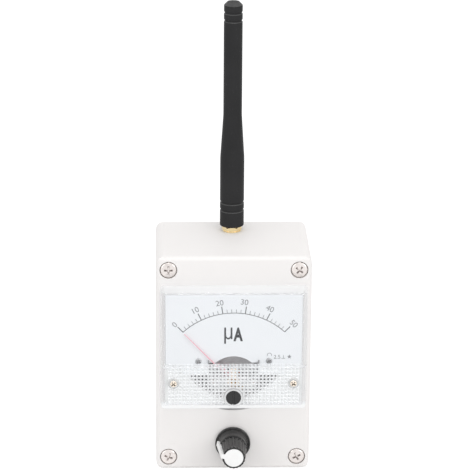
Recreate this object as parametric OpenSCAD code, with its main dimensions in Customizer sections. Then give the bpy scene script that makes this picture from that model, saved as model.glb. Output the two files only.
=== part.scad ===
// Radio field strength meter: a white two-part case with a clear-fronted panel meter, a control
// knob under it and a rubber antenna that screws onto a jack on top.
// The origin is the middle of the case's underside, +Z is up and the meter faces -Y. Millimetres.

/* [Case] */
// Width of the case
case_w = 68; // [62:1:80]
// Height of the case
case_h = 100; // [92:1:120]
// Depth of the case, lid and rear shell together
case_d = 50; // [48:1:64]
// Depth of the front lid
lid_d = 15.5; // [14:0.5:20]
// Wall of the lid and of the rear shell
wall = 2.5; // [2.2:0.1:3]
// Corner radius, seen from the front
corner_r = 4; // [2:0.25:5]
// Radius of the front and rear edges
edge_r = 2; // [1:0.25:2.4]
// Thickness of the lid's skirt outside the tongue
skirt_t = 1.1; // [0.9:0.05:1.3]
// Height of the rear shell's tongue
tongue_h = 2; // [1.5:0.1:3]
// Thickness of the seal that the tongue presses on
seal_t = 1; // [0.6:0.1:1.5]
// Radius of the screw bosses
boss_r = 4.3; // [4.1:0.1:4.8]

/* [Lid screws] */
// Distance of a lid screw from the side of the case
screw_in_x = 5.55; // [5.4:0.05:6.5]
// Distance of a lid screw from the top or bottom of the case
screw_in_z = 6; // [5.6:0.1:7]
// Radius of the head
head_r = 3.6; // [3.2:0.05:3.9]
// Height of the head
head_h = 2; // [1.5:0.1:2.1]
// Radius of the shank
shank_r = 1.75; // [1.25:0.05:2]
// Length under the head
shank_l = 26; // [20:1:36]
// Length of the cross recess
cross_l = 4.2; // [3:0.1:5]
// Width of the cross recess
cross_w = 0.9; // [0.6:0.1:1.2]
// Depth of the cross recess
cross_d = 1.1; // [0.6:0.1:1.3]

/* [Meter cover] */
// Width of the lid that shows at each side of the clear cover
side_w = 2; // [1:0.25:5]
// Height of the lid that shows under the cover, where the knob is
chin_h = 31; // [30:0.5:38]
// Height of the lid that shows above the cover
brow_h = 13; // [11:0.5:20]
// How far the dial window stands out of the lid
window_out = 8.5; // [7.5:0.1:12]
// How far the lower band stands out of the lid
band_out = 5.4; // [5.2:0.1:7]
// Height of the lower band
band_h = 20.5; // [20:0.25:22]
// Wall between the window and the lower band
step_wall = 0.6; // [0.5:0.1:1]
// Wall of the window and of the sides
cover_wall = 1.6; // [1.2:0.1:2]
// Wall of the lower band
band_wall = 1.2; // [1:0.1:1.4]
// Corner radius of the cover
cover_r = 1.5; // [0.6:0.1:3]
// Distance of a cover screw from the side of the cover
cover_screw_in = 5.7; // [5:0.1:7]
// Radius of a cover screw's head
cover_head_r = 1.5; // [1.4:0.05:2.1]
// Radius of a cover screw's shank
cover_shank_r = 1.25; // [1:0.05:1.4]
// Wall round a cover screw
cover_boss_t = 1.2; // [1:0.1:1.3]

/* [Meter case] */
// Distance of the round case from the top edge of the cover
can_margin = 3; // [2.6:0.1:4]
// Wall of the round case
can_wall = 1.5; // [1.2:0.1:1.8]
// Depth of the round case behind the lid's face
can_depth = 26; // [25:0.5:28]
// Thickness of its rear wall
can_back = 2; // [1.5:0.1:3]
// How far the round case sits under the cover's middle
can_drop = 0.9; // [0.5:0.1:1.2]
// How far the lid's round hole is larger than the round case, in radius
can_play = 2.5; // [2.3:0.05:2.6]
// How far the lid's round hole sits under the round case's middle
hole_drop = 2.3; // [0.5:0.05:2.3]
// Thickness of the square flange inside the cover
flange_t = 1.4; // [1.2:0.1:1.6]
// Distance of a fixing stud from the side of the cover
stud_in_x = 6; // [5:0.1:7]
// Distance of a fixing stud from the top or bottom of the cover
stud_in_z = 5.5; // [4.5:0.1:6]
// Radius of a fixing stud
stud_r = 1.5; // [1.2:0.05:1.75]
// Length of a fixing stud behind the lid's face
stud_l = 8; // [7:0.5:11]

/* [Dial] */
// Height of the needle's pivot above the bottom edge of the cover
pivot_up = 12; // [11.6:0.1:12.4]
// Distance of the scale's arc from the top edge of the cover
scale_in = 11.8; // [10:0.1:14]
// Needle's angle either side of the middle
half_sweep = 43.5; // [40:0.5:45]
// Free angle between an end of the scale and the stop
stop_play = 1.5; // [1:0.25:2.5]
// Thickness of the dial plate
dial_t = 0.5; // [0.3:0.05:0.6]
// Gap between the dial plate and the flange
dial_gap = 0.4; // [0.3:0.05:0.5]
// Gap round the edge of the dial plate
dial_rim = 0.6; // [0.4:0.1:1]
// Radius of the arched cut-out round the pivot
arch_r = 12; // [11:0.1:12.5]
// Width of the shallow notch under the arch
notch_w = 21.4; // [20.5:0.1:22]
// Height of the shallow notch
notch_h = 1; // [0.6:0.1:1.4]
// Width of a needle stop
stop_w = 0.6; // [0.4:0.1:1]
// Sideways distance of the dial's screws
dial_screw_x = 15.5; // [15:0.1:18]
// Height of the dial's screws above the pivot
dial_screw_up = 9.8; // [9.4:0.1:10.2]
// Radius of a dial screw's head
dial_head_r = 1.4; // [1.2:0.1:2.1]
// Radius of a dial post
dial_post_r = 1.8; // [1.5:0.1:2.2]

/* [Movement] */
// Outer radius of the iron yoke
yoke_r = 11.2; // [10.8:0.1:11.8]
// Length of the yoke along the needle's axis
yoke_l = 10; // [9:0.25:11]
// Depth of the yoke's front behind the lid's face
yoke_in = 2.6; // [2.4:0.1:3.2]
// Radius of the core magnet
core_r = 3.1; // [2.6:0.05:3.4]
// Air gap on each side of the coil
air_gap = 0.3; // [0.2:0.05:0.4]
// Thickness of the coil's former
former_t = 0.25; // [0.2:0.05:0.3]
// Thickness of the winding
wind_t = 0.6; // [0.4:0.05:0.8]
// Width of the coil's sides
coil_h = 1.8; // [1.4:0.1:2.2]
// Half length of the bridges
bridge_x = 9.8; // [9.4:0.1:10]
// Height of the bridges
bridge_h = 4.6; // [4:0.1:4.8]
// Thickness of the bridges
bridge_t = 1; // [0.8:0.05:1]
// Width of a bridge's legs
leg_w = 2.4; // [2.2:0.1:2.6]
// Radius of a bearing screw
jewel_r = 1.4; // [1.2:0.05:1.5]
// Radius of the pivots
pivot_r = 0.5; // [0.4:0.05:0.6]
// Radius of the frame pillars
pillar_r = 2; // [1.5:0.1:2.5]
// Sideways distance of the frame pillars
pillar_x = 7.5; // [6.5:0.1:8]
// Turns of a hairspring
hair_turns = 3.5; // [2.5:1:4.5]
// Thickness of the hairspring strip
hair_t = 0.12; // [0.1:0.01:0.15]
// Width of the hairspring strip
hair_w = 0.3; // [0.2:0.05:0.35]

/* [Needle and zero adjuster] */
// Width of the needle at its root
needle_w = 0.5; // [0.4:0.05:1]
// Width of the needle at its tip
needle_tip_w = 0.25; // [0.2:0.05:0.5]
// Thickness of the needle's blade
needle_t = 0.3; // [0.2:0.05:0.4]
// Gap between the needle and the dial
needle_gap = 0.7; // [0.6:0.05:0.8]
// Radius at which the needle steps forward through the arch
crank_r = 10; // [9.4:0.1:10.2]
// Thickness of the needle's arm and hub
arm_t = 0.5; // [0.4:0.05:0.6]
// Length of the needle's tail
tail_l = 6; // [5.5:0.1:6.5]
// Radius of the balance weight on the tail
weight_r = 1.5; // [1.2:0.05:1.6]
// Height of the balance weight
weight_h = 1.4; // [1:0.05:1.5]
// How far the zero adjuster lies under the pivot
adjust_drop = 6.3; // [6:0.1:6.6]
// Radius of the zero adjuster's head
adjust_r = 3.3; // [2.8:0.1:3.6]
// Throw of the zero adjuster's pin
adjust_throw = 1.1; // [0.8:0.05:1.3]
// Radius of the zero adjuster's pin
adjust_pin_r = 0.5; // [0.4:0.05:0.6]
// Thickness of the zero lever
lever_t = 0.6; // [0.4:0.05:0.6]

/* [Terminals and board] */
// Sideways distance of the meter's terminals
term_x = 13; // [12:0.5:15]
// Radius of a terminal
term_r = 2; // [1.5:0.1:2.5]
// Length of a terminal behind the round case
term_l = 11; // [10:0.5:14]
// Thickness of a terminal nut
term_nut_t = 2.4; // [2:0.1:3]
// Width of the detector board
board_w = 40; // [38:1:46]
// Height of the detector board
board_h = 24; // [22:1:30]
// Thickness of the detector board
board_t = 1.6; // [1:0.1:2]

/* [Control] */
// Height of the control above the underside of the case
pot_z = 12.8; // [12.5:0.1:14]
// Radius of the control's body
pot_r = 8; // [7.8:0.1:8.5]
// Depth of the control's body behind the lid
pot_depth = 9.5; // [8.5:0.1:12]
// Radius of its threaded bush
bush_r = 3.5; // [3.3:0.05:3.6]
// Length of its threaded bush
bush_l = 7; // [6.5:0.1:7.5]
// Radius of the shaft
shaft_r = 3; // [2.8:0.05:3.1]
// Thickness of the washer under the nut
pot_washer_t = 0.5; // [0.3:0.1:0.8]
// Thickness of the nut
pot_nut_t = 2; // [1.6:0.1:2.2]
// Width of the nut across its flats
pot_nut_af = 10; // [9:0.5:10]

/* [Knob] */
// Radius of the knob's skirt
skirt_r = 7.8; // [7.6:0.1:9]
// Height of the knob
knob_h = 16.5; // [15:0.5:20]
// Radius of the fluted body at the skirt
knob_root_r = 5.9; // [5.8:0.1:6.4]
// Radius of the fluted body at the front
knob_front_r = 5.1; // [5:0.1:5.8]
// Number of flutes
flutes = 20; // [12:1:30]
// Depth of a flute
flute_d = 0.4; // [0.2:0.05:0.5]
// Radius of the white cap
cap_r = 4.2; // [3.8:0.1:4.4]
// Thickness of the white cap
cap_t = 0.9; // [0.6:0.1:1.5]
// Width of the white pointer line
line_w = 2.2; // [1.2:0.1:2.6]
// Direction of the pointer line at rest, counter-clockwise from +X seen from the front
line_angle = 170; // [90:5:240]

/* [Antenna jack] */
// Distance of the jack from the rear of the case
jack_in = 13.5; // [11:0.5:18]
// Radius of the jack's thread
thread_r = 3.15; // [3:0.05:3.2]
// Height of the thread above the case
thread_h = 8; // [7.5:0.1:9]
// Width of the jack's hexagons across their flats
jack_af = 8; // [7.5:0.1:9]
// Thickness of the jack's lock washer
jack_washer_t = 0.5; // [0.3:0.05:0.6]
// Thickness of the jack's nut
jack_nut_t = 1.8; // [1.5:0.1:1.8]
// Length of the jack's barrel inside the case
barrel_l = 5; // [4:0.5:7]

/* [Antenna] */
// Length of the rubber sleeve
sleeve_l = 102; // [90:1:140]
// Radius of the sleeve's lower part
sleeve_r = 5.35; // [5.2:0.05:6]
// Radius of the sleeve's upper part
whip_r = 3.95; // [3.5:0.05:4.4]
// Height on the sleeve where the taper starts
taper_from = 31.5; // [28:0.5:36]
// Height on the sleeve where the taper ends
taper_to = 51; // [44:0.5:56]
// Depth of the ring grooves
groove_d = 0.3; // [0.2:0.05:0.4]
// Width of the ring grooves
groove_w = 1; // [0.6:0.1:1.4]
// Radius of the coupling nut
coupling_r = 4; // [3.8:0.05:4.1]
// Radius of the plug's barrel
plug_r = 2.3; // [2:0.05:2.4]
// Radius of the radiating wire
wire_r = 0.8; // [0.6:0.05:1]

/* [Hidden] */
$fn = 64;

// Radial gap of a close fit, of a running fit and of a clearance hole
fit = 0.05;
run = 0.05;
clear = 0.25;
// Overlap that keeps joined shapes in one solid
join = 0.3;
// Extra length of a cutting tool past the face it cuts
past = 1;

// Depths, counted from the middle of the case
y_front = -case_d / 2;
y_back = case_d / 2;
y_seam = y_front + lid_d;
y_inner = y_front + wall;
function out(d) = y_front - d;

// Places seen from the front, as X and Z
screw_x = case_w / 2 - screw_in_x;
screw_places = [[-screw_x, screw_in_z], [screw_x, screw_in_z],
    [-screw_x, case_h - screw_in_z], [screw_x, case_h - screw_in_z]];
screw_turns = [20, 65, 0, 38];
meter_w = case_w - 2 * side_w;
meter_bottom = chin_h;
meter_top = case_h - brow_h;
meter_h = meter_top - meter_bottom;
meter_z = meter_bottom + meter_h / 2;
step_z = meter_bottom + band_h;
pivot_z = meter_bottom + pivot_up;
pivot = [0, pivot_z];
can_z = meter_z - can_drop;
can_r = meter_h / 2 - can_margin;
can_in_r = can_r - can_wall;
can_hole = [0, can_z - hole_drop];
scale_r = meter_h - pivot_up - scale_in;
stud_x = meter_w / 2 - stud_in_x;
stud_z = meter_h / 2 - stud_in_z;
cover_screw_x = meter_w / 2 - cover_screw_in;
stud_places = [for (x = [-stud_x, stud_x], z = [-stud_z, stud_z]) [x, meter_z + z]];
cover_screw_places = [[-cover_screw_x, pivot_z], [cover_screw_x, pivot_z]];
dial_screw_z = pivot_z + dial_screw_up;
dial_screw_places = [[-dial_screw_x, dial_screw_z], [dial_screw_x, dial_screw_z]];
pillar_places = [[-pillar_x, dial_screw_z], [pillar_x, dial_screw_z]];
adjuster = [0, pivot_z - adjust_drop];
adjust_pin = adjuster - [0, adjust_throw];
term_places = [[-term_x, can_z], [term_x, can_z]];
control = [0, pot_z];

// Meter cover and flange
tongue_in = skirt_t + 2 * fit;
cover_in = cover_wall + 4 * fit;
cover_boss_r = cover_shank_r + fit + cover_boss_t;
cover_head_h = 1;
cover_seat = out(flange_t + 1.6);
cover_cross_l = 2;
cover_cross_w = 0.6;
stud_head_r = stud_r + 0.5;
stud_head_t = 1;
nut_t = 2.4;
nut_af = 5.5;

// Dial and movement depths
dial_back = out(flange_t + dial_gap);
dial_front = dial_back - dial_t;
dial_low = step_z - 0.5;
dial_screw_r = dial_post_r / 2;
dial_screw_l = 4;
dial_head_h = 0.8;
dial_cross_l = 1.9;
dial_cross_w = 0.45;
blade_back = dial_front - needle_gap;
blade_front = blade_back - needle_t;
y_yoke = y_front + yoke_in;
y_yoke_end = y_yoke + yoke_l;
coil_in = core_r + air_gap;
coil_out = coil_in + former_t + wind_t;
bore_r = norm([coil_out, coil_h / 2]) + air_gap;
former_y = y_yoke - air_gap;
former_y_end = y_yoke_end + air_gap;
coil_y = former_y - former_t - wind_t;
coil_y_end = former_y_end + former_t + wind_t;
// Lengths from a face of the coil to what lies beyond it, the same at the front and at the rear
hub_off = 0.45;
hair_off = 1.8;
jewel_off = 2.3;
bridge_off = 2.6;
pivot_l = 2.6;
jewel_l = 2.6;
y_bridge = coil_y - bridge_off;
y_bridge_end = coil_y_end + bridge_off;
arm_front = coil_y - hub_off - arm_t;
hub_r = 1.5;
arm_w = 1.4;
bracket_t = 1;
bracket_h = 4;
y_bracket = y_yoke_end + bracket_t;
y_can_floor = y_front + can_depth - can_back;
bridge_screw_x = bridge_x - leg_w / 2;
bridge_screw_r = 0.7;
bridge_head_r = 1.1;
bridge_head_h = 0.6;
bridge_bite = 2;
hair_in_r = pivot_r + 0.4;
hair_out_r = hair_in_r + 1.7;
tab_r = hair_out_r + hair_t / 2 + fit;
tab_t = 0.6;

// Zero lever and adjuster depths
lever_back = y_bridge - bridge_t - 0.2;
lever_front = lever_back - lever_t;
y_band_in = out(band_out - band_wall);
collar_h = 0.6;
collar_t = 0.9;
adjust_web = 0.6;
adjust_neck_r = 1.6;
adjust_disc_t = 0.4;

// Terminals and board
y_can_end = y_front + can_depth;
y_board = y_can_end + term_nut_t;
y_board_end = y_board + board_t;
board_low = can_z - board_h / 2 - 1;
term_nut_af = term_r * 3.5;
term_head_t = 2;

// Control, from the lid's inner face
plate_t = 1.6;
wafer_t = 1.2;
lug_t = 0.4;
lug_w = 1.6;
lug_pitch = 5;
lug_top = pot_z + pot_r + 7.5;
y_wafer = y_inner + plate_t;
y_lug = y_wafer + wafer_t;
pot_can_t = 0.4;
wiper_y = y_lug + 0.3;
wiper_t = 0.6;
y_pot_end = y_inner + pot_depth;

// Knob, in front of the lid
knob_gap = 0.6;
y_knob = out(knob_gap);
y_knob_front = y_knob - knob_h;
nut_front = out(pot_washer_t + pot_nut_t);
bush_front = y_inner - bush_l;
recess_end = nut_front - 2 * clear;
bush_recess_end = bush_front - 2 * clear;
rim_h = 1.2;
rim_lip = 0.6;
rim_slope = 0.25;
skirt_h = 6.3;
flare_r = knob_root_r + 0.2;
flare_out = skirt_r - rim_lip - flare_r;
flare_up = skirt_h - rim_h;
flare_bend = (flare_out * flare_out + flare_up * flare_up) / (2 * flare_out);
shaft_front = bush_front - 8.8;
line_in_r = cap_r - 0.1;
line_from = 3;
line_foot_r = skirt_r - 0.3;
line_tip_r = knob_front_r + 0.4;
line_side = 0.3;

// Jack and antenna heights
jack = [0, y_back - jack_in];
z_jack_nut = case_h + jack_washer_t;
z_jack_top = case_h + thread_h;
flange_h = 2;
z_flange = case_h - wall - flange_h;
z_barrel = z_flange - barrel_l;
jack_bore_r = 2.05;
contact_r = 0.75;
pin_r = 0.45;
pin_depth = 4.4;
tail_len = 3;
z_sleeve = z_jack_nut + jack_nut_t + 0.3;
z_coupling = z_sleeve + 0.3;
shoulder_t = 0.35;
web_t = 1.1;
z_web = z_jack_top + shoulder_t + 2 * fit;
z_coupling_end = z_web + web_t;
plug_l = 8.6;
z_plug = z_jack_top + fit;
z_plug_end = z_plug + plug_l;
plug_bore_r = 1.55;
z_wire_end = z_sleeve + sleeve_l - 7;

// Shapes that repeat

// A slab between two depths, of an outline drawn in X and Z as seen from the front
module slab(y0, y1) {
    translate([0, y1, 0])
        rotate([90, 0, 0])
            linear_extrude(y1 - y0)
                children();
}

// A round bar along the depth, at a place seen from the front
module bar(r, y0, y1, at = [0, 0]) {
    translate([at.x, y0, at.y])
        rotate([-90, 0, 0])
            cylinder(r = r, h = y1 - y0);
}

// A round post upwards, at a place seen from above
module post(r, z0, z1, at = [0, 0]) {
    translate([at.x, at.y, z0])
        cylinder(r = r, h = z1 - z0);
}

// A box between two opposite corners
module block(low, high) {
    translate(low)
        cube(high - low);
}

// A six-sided bar of a given width across its flats, along the depth
module hex_bar(af, y0, y1, at) {
    translate([at.x, y0, at.y])
        rotate([-90, 0, 0])
            cylinder(r = af / sqrt(3), h = y1 - y0, $fn = 6);
}

// A driver's cross recess, cut into a face that looks to -Y
module cross_recess(l, w, d, y, at, turn = 0) {
    translate([at.x, y, at.y])
        for (a = [0, 90])
            rotate([0, turn + a, 0])
                cube([l, 2 * d, w], center = true);
}

function arc(c, r, from, to, steps = 6) =
    [for (i = [0:steps]) let (a = from + (to - from) * i / steps) c + r * [cos(a), sin(a)]];

// A corner of an outline: an arc, or one point where the radius is 0
function corner(c, r, from) = r > 0 ? arc(c, r, from, from + 90) : [c];

// A box outline whose lower and upper corners have their own radii
function box_outline(half, low, high, r_low, r_high) = concat(
    corner([half - r_high, high - r_high], r_high, 0),
    corner([r_high - half, high - r_high], r_high, 90),
    corner([r_low - half, low + r_low], r_low, 180),
    corner([half - r_low, low + r_low], r_low, 270));

// The case's outline seen from the front, drawn in by an inset
module outline(inset) {
    r = max(corner_r - inset, 0.4);
    polygon(box_outline(case_w / 2 - inset, inset, case_h - inset, r, r));
}

// The outside of the case between two depths, with rounded front or rear edges
module case_block(y0, y1, r_front, r_back) {
    side = box_outline(case_h / 2, y0, y1, r_front, r_back);
    intersection() {
        slab(y0, y1)
            outline(0);
        linear_extrude(case_h)
            polygon(box_outline(case_w / 2, y0, y1, r_front, r_back));
        translate([-case_w / 2, 0, case_h / 2])
            rotate([90, 0, 90])
                linear_extrude(case_w)
                    polygon([for (p = side) [p.y, p.x]]);
    }
}

// The cover's outline seen from the front, drawn in by an inset
module cover_outline(inset, low = meter_bottom) {
    r = max(cover_r - inset, 0.3);
    polygon(box_outline(meter_w / 2 - inset, low + inset, meter_top - inset, r, r));
}

// Turns what is drawn upright on the pivot to where the needle rests
module at_rest() {
    translate([0, 0, pivot_z])
        rotate([0, -half_sweep, 0])
            children();
}

// A tube along a route, as one skin with rings square to it
module tube(route, r, sides = 8) {
    n = len(route);
    rings = [for (i = [0:n - 1])
        let (t = route[min(i + 1, n - 1)] - route[max(i - 1, 0)])
        let (u = cross(t, [1, 0, 0]) / norm(cross(t, [1, 0, 0])))
        let (v = cross(t, u) / norm(t))
        [for (k = [0:sides - 1]) route[i] + r * (cos(360 * k / sides) * u + sin(360 * k / sides) * v)]];
    skin = [for (i = [0:n - 2], k = [0:sides - 1])
        let (a = i * sides + k)
        let (b = i * sides + (k + 1) % sides)
        each [[a, b, b + sides], [a, b + sides, a + sides]]];
    first = [for (k = [1:sides - 2]) [0, k + 1, k]];
    last = [for (k = [1:sides - 2]) (n - 1) * sides * [1, 1, 1] + [0, k, k + 1]];
    polyhedron([for (ring = rings) each ring], concat(skin, first, last));
}

// Points between the points of a route, on one smooth curve
function smooth(p, steps = 4) = [
    for (i = [0:len(p) - 2], k = [0:steps - 1])
        let (a = p[max(i - 1, 0)])
        let (b = p[i])
        let (c = p[i + 1])
        let (d = p[min(i + 2, len(p) - 1)])
        let (s = k / steps)
        let (bend = a - 2.5 * b + 2 * c - d / 2)
        let (twist = 1.5 * (b - c) + (d - a) / 2)
        b + s * (c - a) / 2 + s * s * bend + s * s * s * twist,
    p[len(p) - 1]];

// Case

module rear_shell() {
    color("whitesmoke")
        difference() {
            union() {
                difference() {
                    case_block(y_seam, y_back, 0, edge_r);
                    slab(y_seam - past, y_back - wall)
                        outline(wall);
                }
                slab(y_seam - tongue_h, y_seam + join)
                    difference() {
                        outline(tongue_in);
                        outline(wall);
                    }
                for (p = screw_places)
                    bar(boss_r, y_seam, y_back - wall + join, p);
            }
            for (p = screw_places)
                bar(shank_r + fit, y_seam - past, y_front + head_h + shank_l + 2, p);
            post(thread_r + fit, case_h - wall - past, case_h + past, jack);
        }
}

module front_lid() {
    color("whitesmoke")
        difference() {
            union() {
                difference() {
                    case_block(y_front, y_seam, edge_r, 0);
                    slab(y_inner, y_seam + past)
                        outline(wall);
                }
                for (p = screw_places)
                    bar(boss_r, y_inner - join, y_seam, p);
            }
            slab(y_seam - tongue_h - seal_t, y_seam + past)
                difference() {
                    outline(skirt_t);
                    outline(wall + fit);
                }
            for (p = screw_places) {
                bar(shank_r + clear, y_front - past, y_seam + past, p);
                bar(head_r + clear, y_front - past, y_front + head_h, p);
            }
            bar(can_r + can_play, y_front - past, y_inner + past, can_hole);
            for (p = stud_places)
                bar(stud_r + clear, y_front - past, y_inner + past, p);
            bar(bush_r + 2 * fit, y_front - past, y_inner + past, control);
        }
}

module lid_seal() {
    color("dimgray")
        slab(y_seam - tongue_h - seal_t, y_seam - tongue_h)
            difference() {
                outline(tongue_in);
                outline(wall);
            }
}

module lid_screws() {
    color("silver")
        for (i = [0:3])
            difference() {
                union() {
                    bar(head_r, y_front, y_front + head_h, screw_places[i]);
                    bar(shank_r, y_front + head_h - join, y_front + head_h + shank_l, screw_places[i]);
                }
                cross_recess(cross_l, cross_w, cross_d, y_front, screw_places[i], screw_turns[i]);
            }
}

// Meter, outside

module meter_cover() {
    adjust_depth = band_out - band_wall + adjust_web;
    color("lightcyan", 0.35)
        difference() {
            union() {
                difference() {
                    union() {
                        slab(out(band_out), y_front)
                            cover_outline(0);
                        slab(out(window_out), y_front)
                            cover_outline(0, step_z);
                    }
                    slab(y_band_in, y_front + past)
                        cover_outline(cover_wall);
                    slab(out(window_out - cover_wall), y_front + past)
                        cover_outline(cover_wall, step_z + step_wall - cover_wall);
                }
                for (p = cover_screw_places)
                    bar(cover_boss_r, out(band_out - join), cover_seat, p);
                bar(adjust_r + fit + collar_t, out(band_out + collar_h), out(band_out - join), adjuster);
            }
            for (p = cover_screw_places) {
                bar(cover_shank_r + fit, out(band_out + past), y_front, p);
                bar(cover_head_r + fit, out(band_out + past), out(band_out - cover_head_h), p);
            }
            bar(adjust_r + run, out(band_out + collar_h + past), out(adjust_depth), adjuster);
            bar(adjust_neck_r + run, out(band_out + past), y_front, adjuster);
        }
}

module cover_screws() {
    color("darkgoldenrod")
        for (p = cover_screw_places)
            difference() {
                union() {
                    bar(cover_head_r, out(band_out), out(band_out - cover_head_h), p);
                    bar(cover_shank_r, out(band_out - cover_head_h + join), out(join), p);
                }
                cross_recess(cover_cross_l, cover_cross_w, 0.7 * cover_head_h, out(band_out), p);
            }
}

module meter_flange() {
    color("white")
        difference() {
            union() {
                slab(out(flange_t), y_front)
                    difference() {
                        cover_outline(cover_in);
                        translate([0, can_z])
                            circle(can_in_r);
                    }
                for (p = cover_screw_places)
                    bar(cover_boss_r, cover_seat, out(join), p);
            }
            for (p = cover_screw_places)
                bar(cover_shank_r + fit, cover_seat - past, y_front + past, p);
            for (p = stud_places)
                bar(stud_head_r + fit, out(stud_head_t), y_front + past, p);
        }
}

module meter_can() {
    color([0.6, 0.6, 0.62])
        difference() {
            bar(can_r, y_front, y_can_end, [0, can_z]);
            bar(can_in_r, y_front - past, y_can_floor, [0, can_z]);
            for (p = term_places)
                bar(term_r + fit, y_can_floor - past, y_can_end + past, p);
        }
}

module meter_studs() {
    color("goldenrod")
        for (p = stud_places) {
            bar(stud_head_r, out(stud_head_t), y_front, p);
            bar(stud_r, out(join), y_front + stud_l, p);
        }
}

module meter_nuts() {
    color("silver")
        for (p = stud_places)
            difference() {
                hex_bar(nut_af, y_inner, y_inner + nut_t, p);
                bar(stud_r + fit, y_inner - past, y_inner + nut_t + past, p);
            }
}

// Dial and the frame that carries it

module dial_plate() {
    side = meter_w / 2 - cover_wall - dial_rim;
    stop_angle = half_sweep + stop_play;
    stop_x = notch_w / 2 + stop_w;
    // The stop's inner corner lies just clear of the needle's edge
    stop_up = (notch_w / 2) / tan(stop_angle) - (needle_w / 2 + 2 * fit) / sin(stop_angle);
    color("white")
        difference() {
            union() {
                block([-side, dial_front, dial_low], [side, dial_back, meter_top - cover_wall - dial_rim]);
                for (s = [0, 1])
                    mirror([s, 0, 0])
                        block([notch_w / 2, blade_front - clear, dial_low],
                            [stop_x, dial_back, pivot_z + stop_up]);
            }
            bar(arch_r, dial_front - past, dial_back + past, pivot);
            block([-notch_w / 2, dial_front - past, dial_low - past],
                [notch_w / 2, dial_back + past, dial_low + notch_h]);
            for (p = dial_screw_places)
                bar(dial_screw_r + fit, dial_front - past, dial_back + past, p);
        }
}

module dial_screws() {
    color("gray")
        for (p = dial_screw_places)
            difference() {
                union() {
                    bar(dial_head_r, dial_front - dial_head_h, dial_front, p);
                    bar(dial_screw_r, dial_front - join, dial_back + dial_screw_l, p);
                }
                cross_recess(dial_cross_l, dial_cross_w, dial_head_h / 2, dial_front - dial_head_h, p);
            }
}

module dial_bracket() {
    half = dial_screw_x + dial_post_r + 0.4;
    color("lightgray")
        difference() {
            union() {
                block([-half, y_yoke_end, dial_screw_z - bracket_h / 2],
                    [half, y_bracket, dial_screw_z + bracket_h / 2]);
                for (p = dial_screw_places)
                    bar(dial_post_r, dial_back, y_bracket - join, p);
            }
            for (p = dial_screw_places)
                bar(dial_screw_r + fit, dial_back - past, dial_back + dial_screw_l + past, p);
        }
}

module frame_pillars() {
    color("silver")
        for (p = pillar_places)
            bar(pillar_r, y_bracket, y_can_floor, p);
}

// Movement

module yoke() {
    color("slategray")
        difference() {
            intersection() {
                bar(yoke_r, y_yoke, y_yoke_end, pivot);
                bar(can_in_r - 2 * clear, y_yoke - past, y_yoke_end + past, [0, can_z]);
            }
            bar(bore_r, y_yoke - past, y_yoke_end + past, pivot);
            for (x = [-bridge_screw_x, bridge_screw_x]) {
                bar(bridge_screw_r + fit, y_yoke - past, y_yoke + bridge_bite + fit, [x, pivot_z]);
                bar(bridge_screw_r + fit, y_yoke_end - bridge_bite - fit, y_yoke_end + past, [x, pivot_z]);
            }
        }
}

module core_magnet() {
    color("dimgray")
        bar(core_r, y_yoke + air_gap, y_yoke_end - air_gap, pivot);
}

module core_supports() {
    half = 0.7;
    inset = 2;
    color("goldenrod")
        for (s = [-1, 1])
            intersection() {
                difference() {
                    bar(bore_r - fit / 2, y_yoke + inset, y_yoke_end - inset, pivot);
                    bar(core_r + fit / 2, y_yoke, y_yoke_end, pivot);
                }
                translate([-half, y_yoke, pivot_z + (s > 0 ? 0 : -bore_r)])
                    cube([2 * half, yoke_l, bore_r]);
            }
}

// A bridge over one end of the coil: a strip on two legs, with a hole for the bearing screw
module bridge(y_leg, y_near, y_far) {
    near = min(y_near, y_far);
    leg_low = min(y_leg, y_near);
    difference() {
        union() {
            block([-bridge_x, near, pivot_z - bridge_h / 2],
                [bridge_x, near + bridge_t, pivot_z + bridge_h / 2]);
            for (x = [-bridge_x, bridge_x - leg_w])
                block([x, leg_low, pivot_z - bridge_h / 2],
                    [x + leg_w, leg_low + abs(y_leg - y_near), pivot_z + bridge_h / 2]);
        }
        bar(jewel_r + fit, near - past, near + bridge_t + past, pivot);
        for (x = [-bridge_screw_x, bridge_screw_x])
            bar(bridge_screw_r + fit, min(y_leg, y_far) - past, max(y_leg, y_far) + past, [x, pivot_z]);
    }
}

module front_bridge() {
    color("gainsboro")
        bridge(y_yoke, y_bridge, y_bridge - bridge_t);
}

module rear_bridge() {
    color("gainsboro") {
        bridge(y_yoke_end, y_bridge_end, y_bridge_end + bridge_t);
        block([-arm_w / 2, y_bridge_end, pivot_z + bridge_h / 2 - join],
            [arm_w / 2, y_bridge_end + bridge_t, pivot_z + tab_r + tab_t]);
        block([-arm_w / 2, coil_y_end + hair_off, pivot_z + tab_r],
            [arm_w / 2, y_bridge_end + join, pivot_z + tab_r + tab_t]);
    }
}

module bridge_screws() {
    front = y_bridge - bridge_t;
    rear = y_bridge_end + bridge_t;
    color("silver")
        for (x = [-bridge_screw_x, bridge_screw_x]) {
            bar(bridge_head_r, front - bridge_head_h, front, [x, pivot_z]);
            bar(bridge_screw_r, front - join, y_yoke + bridge_bite, [x, pivot_z]);
            bar(bridge_head_r, rear, rear + bridge_head_h, [x, pivot_z]);
            bar(bridge_screw_r, y_yoke_end - bridge_bite, rear + join, [x, pivot_z]);
        }
}

module bearing_screws() {
    cup = pivot_l - jewel_off + 0.1;
    front = coil_y - jewel_off;
    rear = coil_y_end + jewel_off;
    color("goldenrod") {
        difference() {
            bar(jewel_r, front - jewel_l, front, pivot);
            bar(pivot_r + run, front - cup, front + past, pivot);
        }
        difference() {
            bar(jewel_r, rear, rear + jewel_l, pivot);
            bar(pivot_r + run, rear - past, rear + cup, pivot);
        }
    }
}

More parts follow.
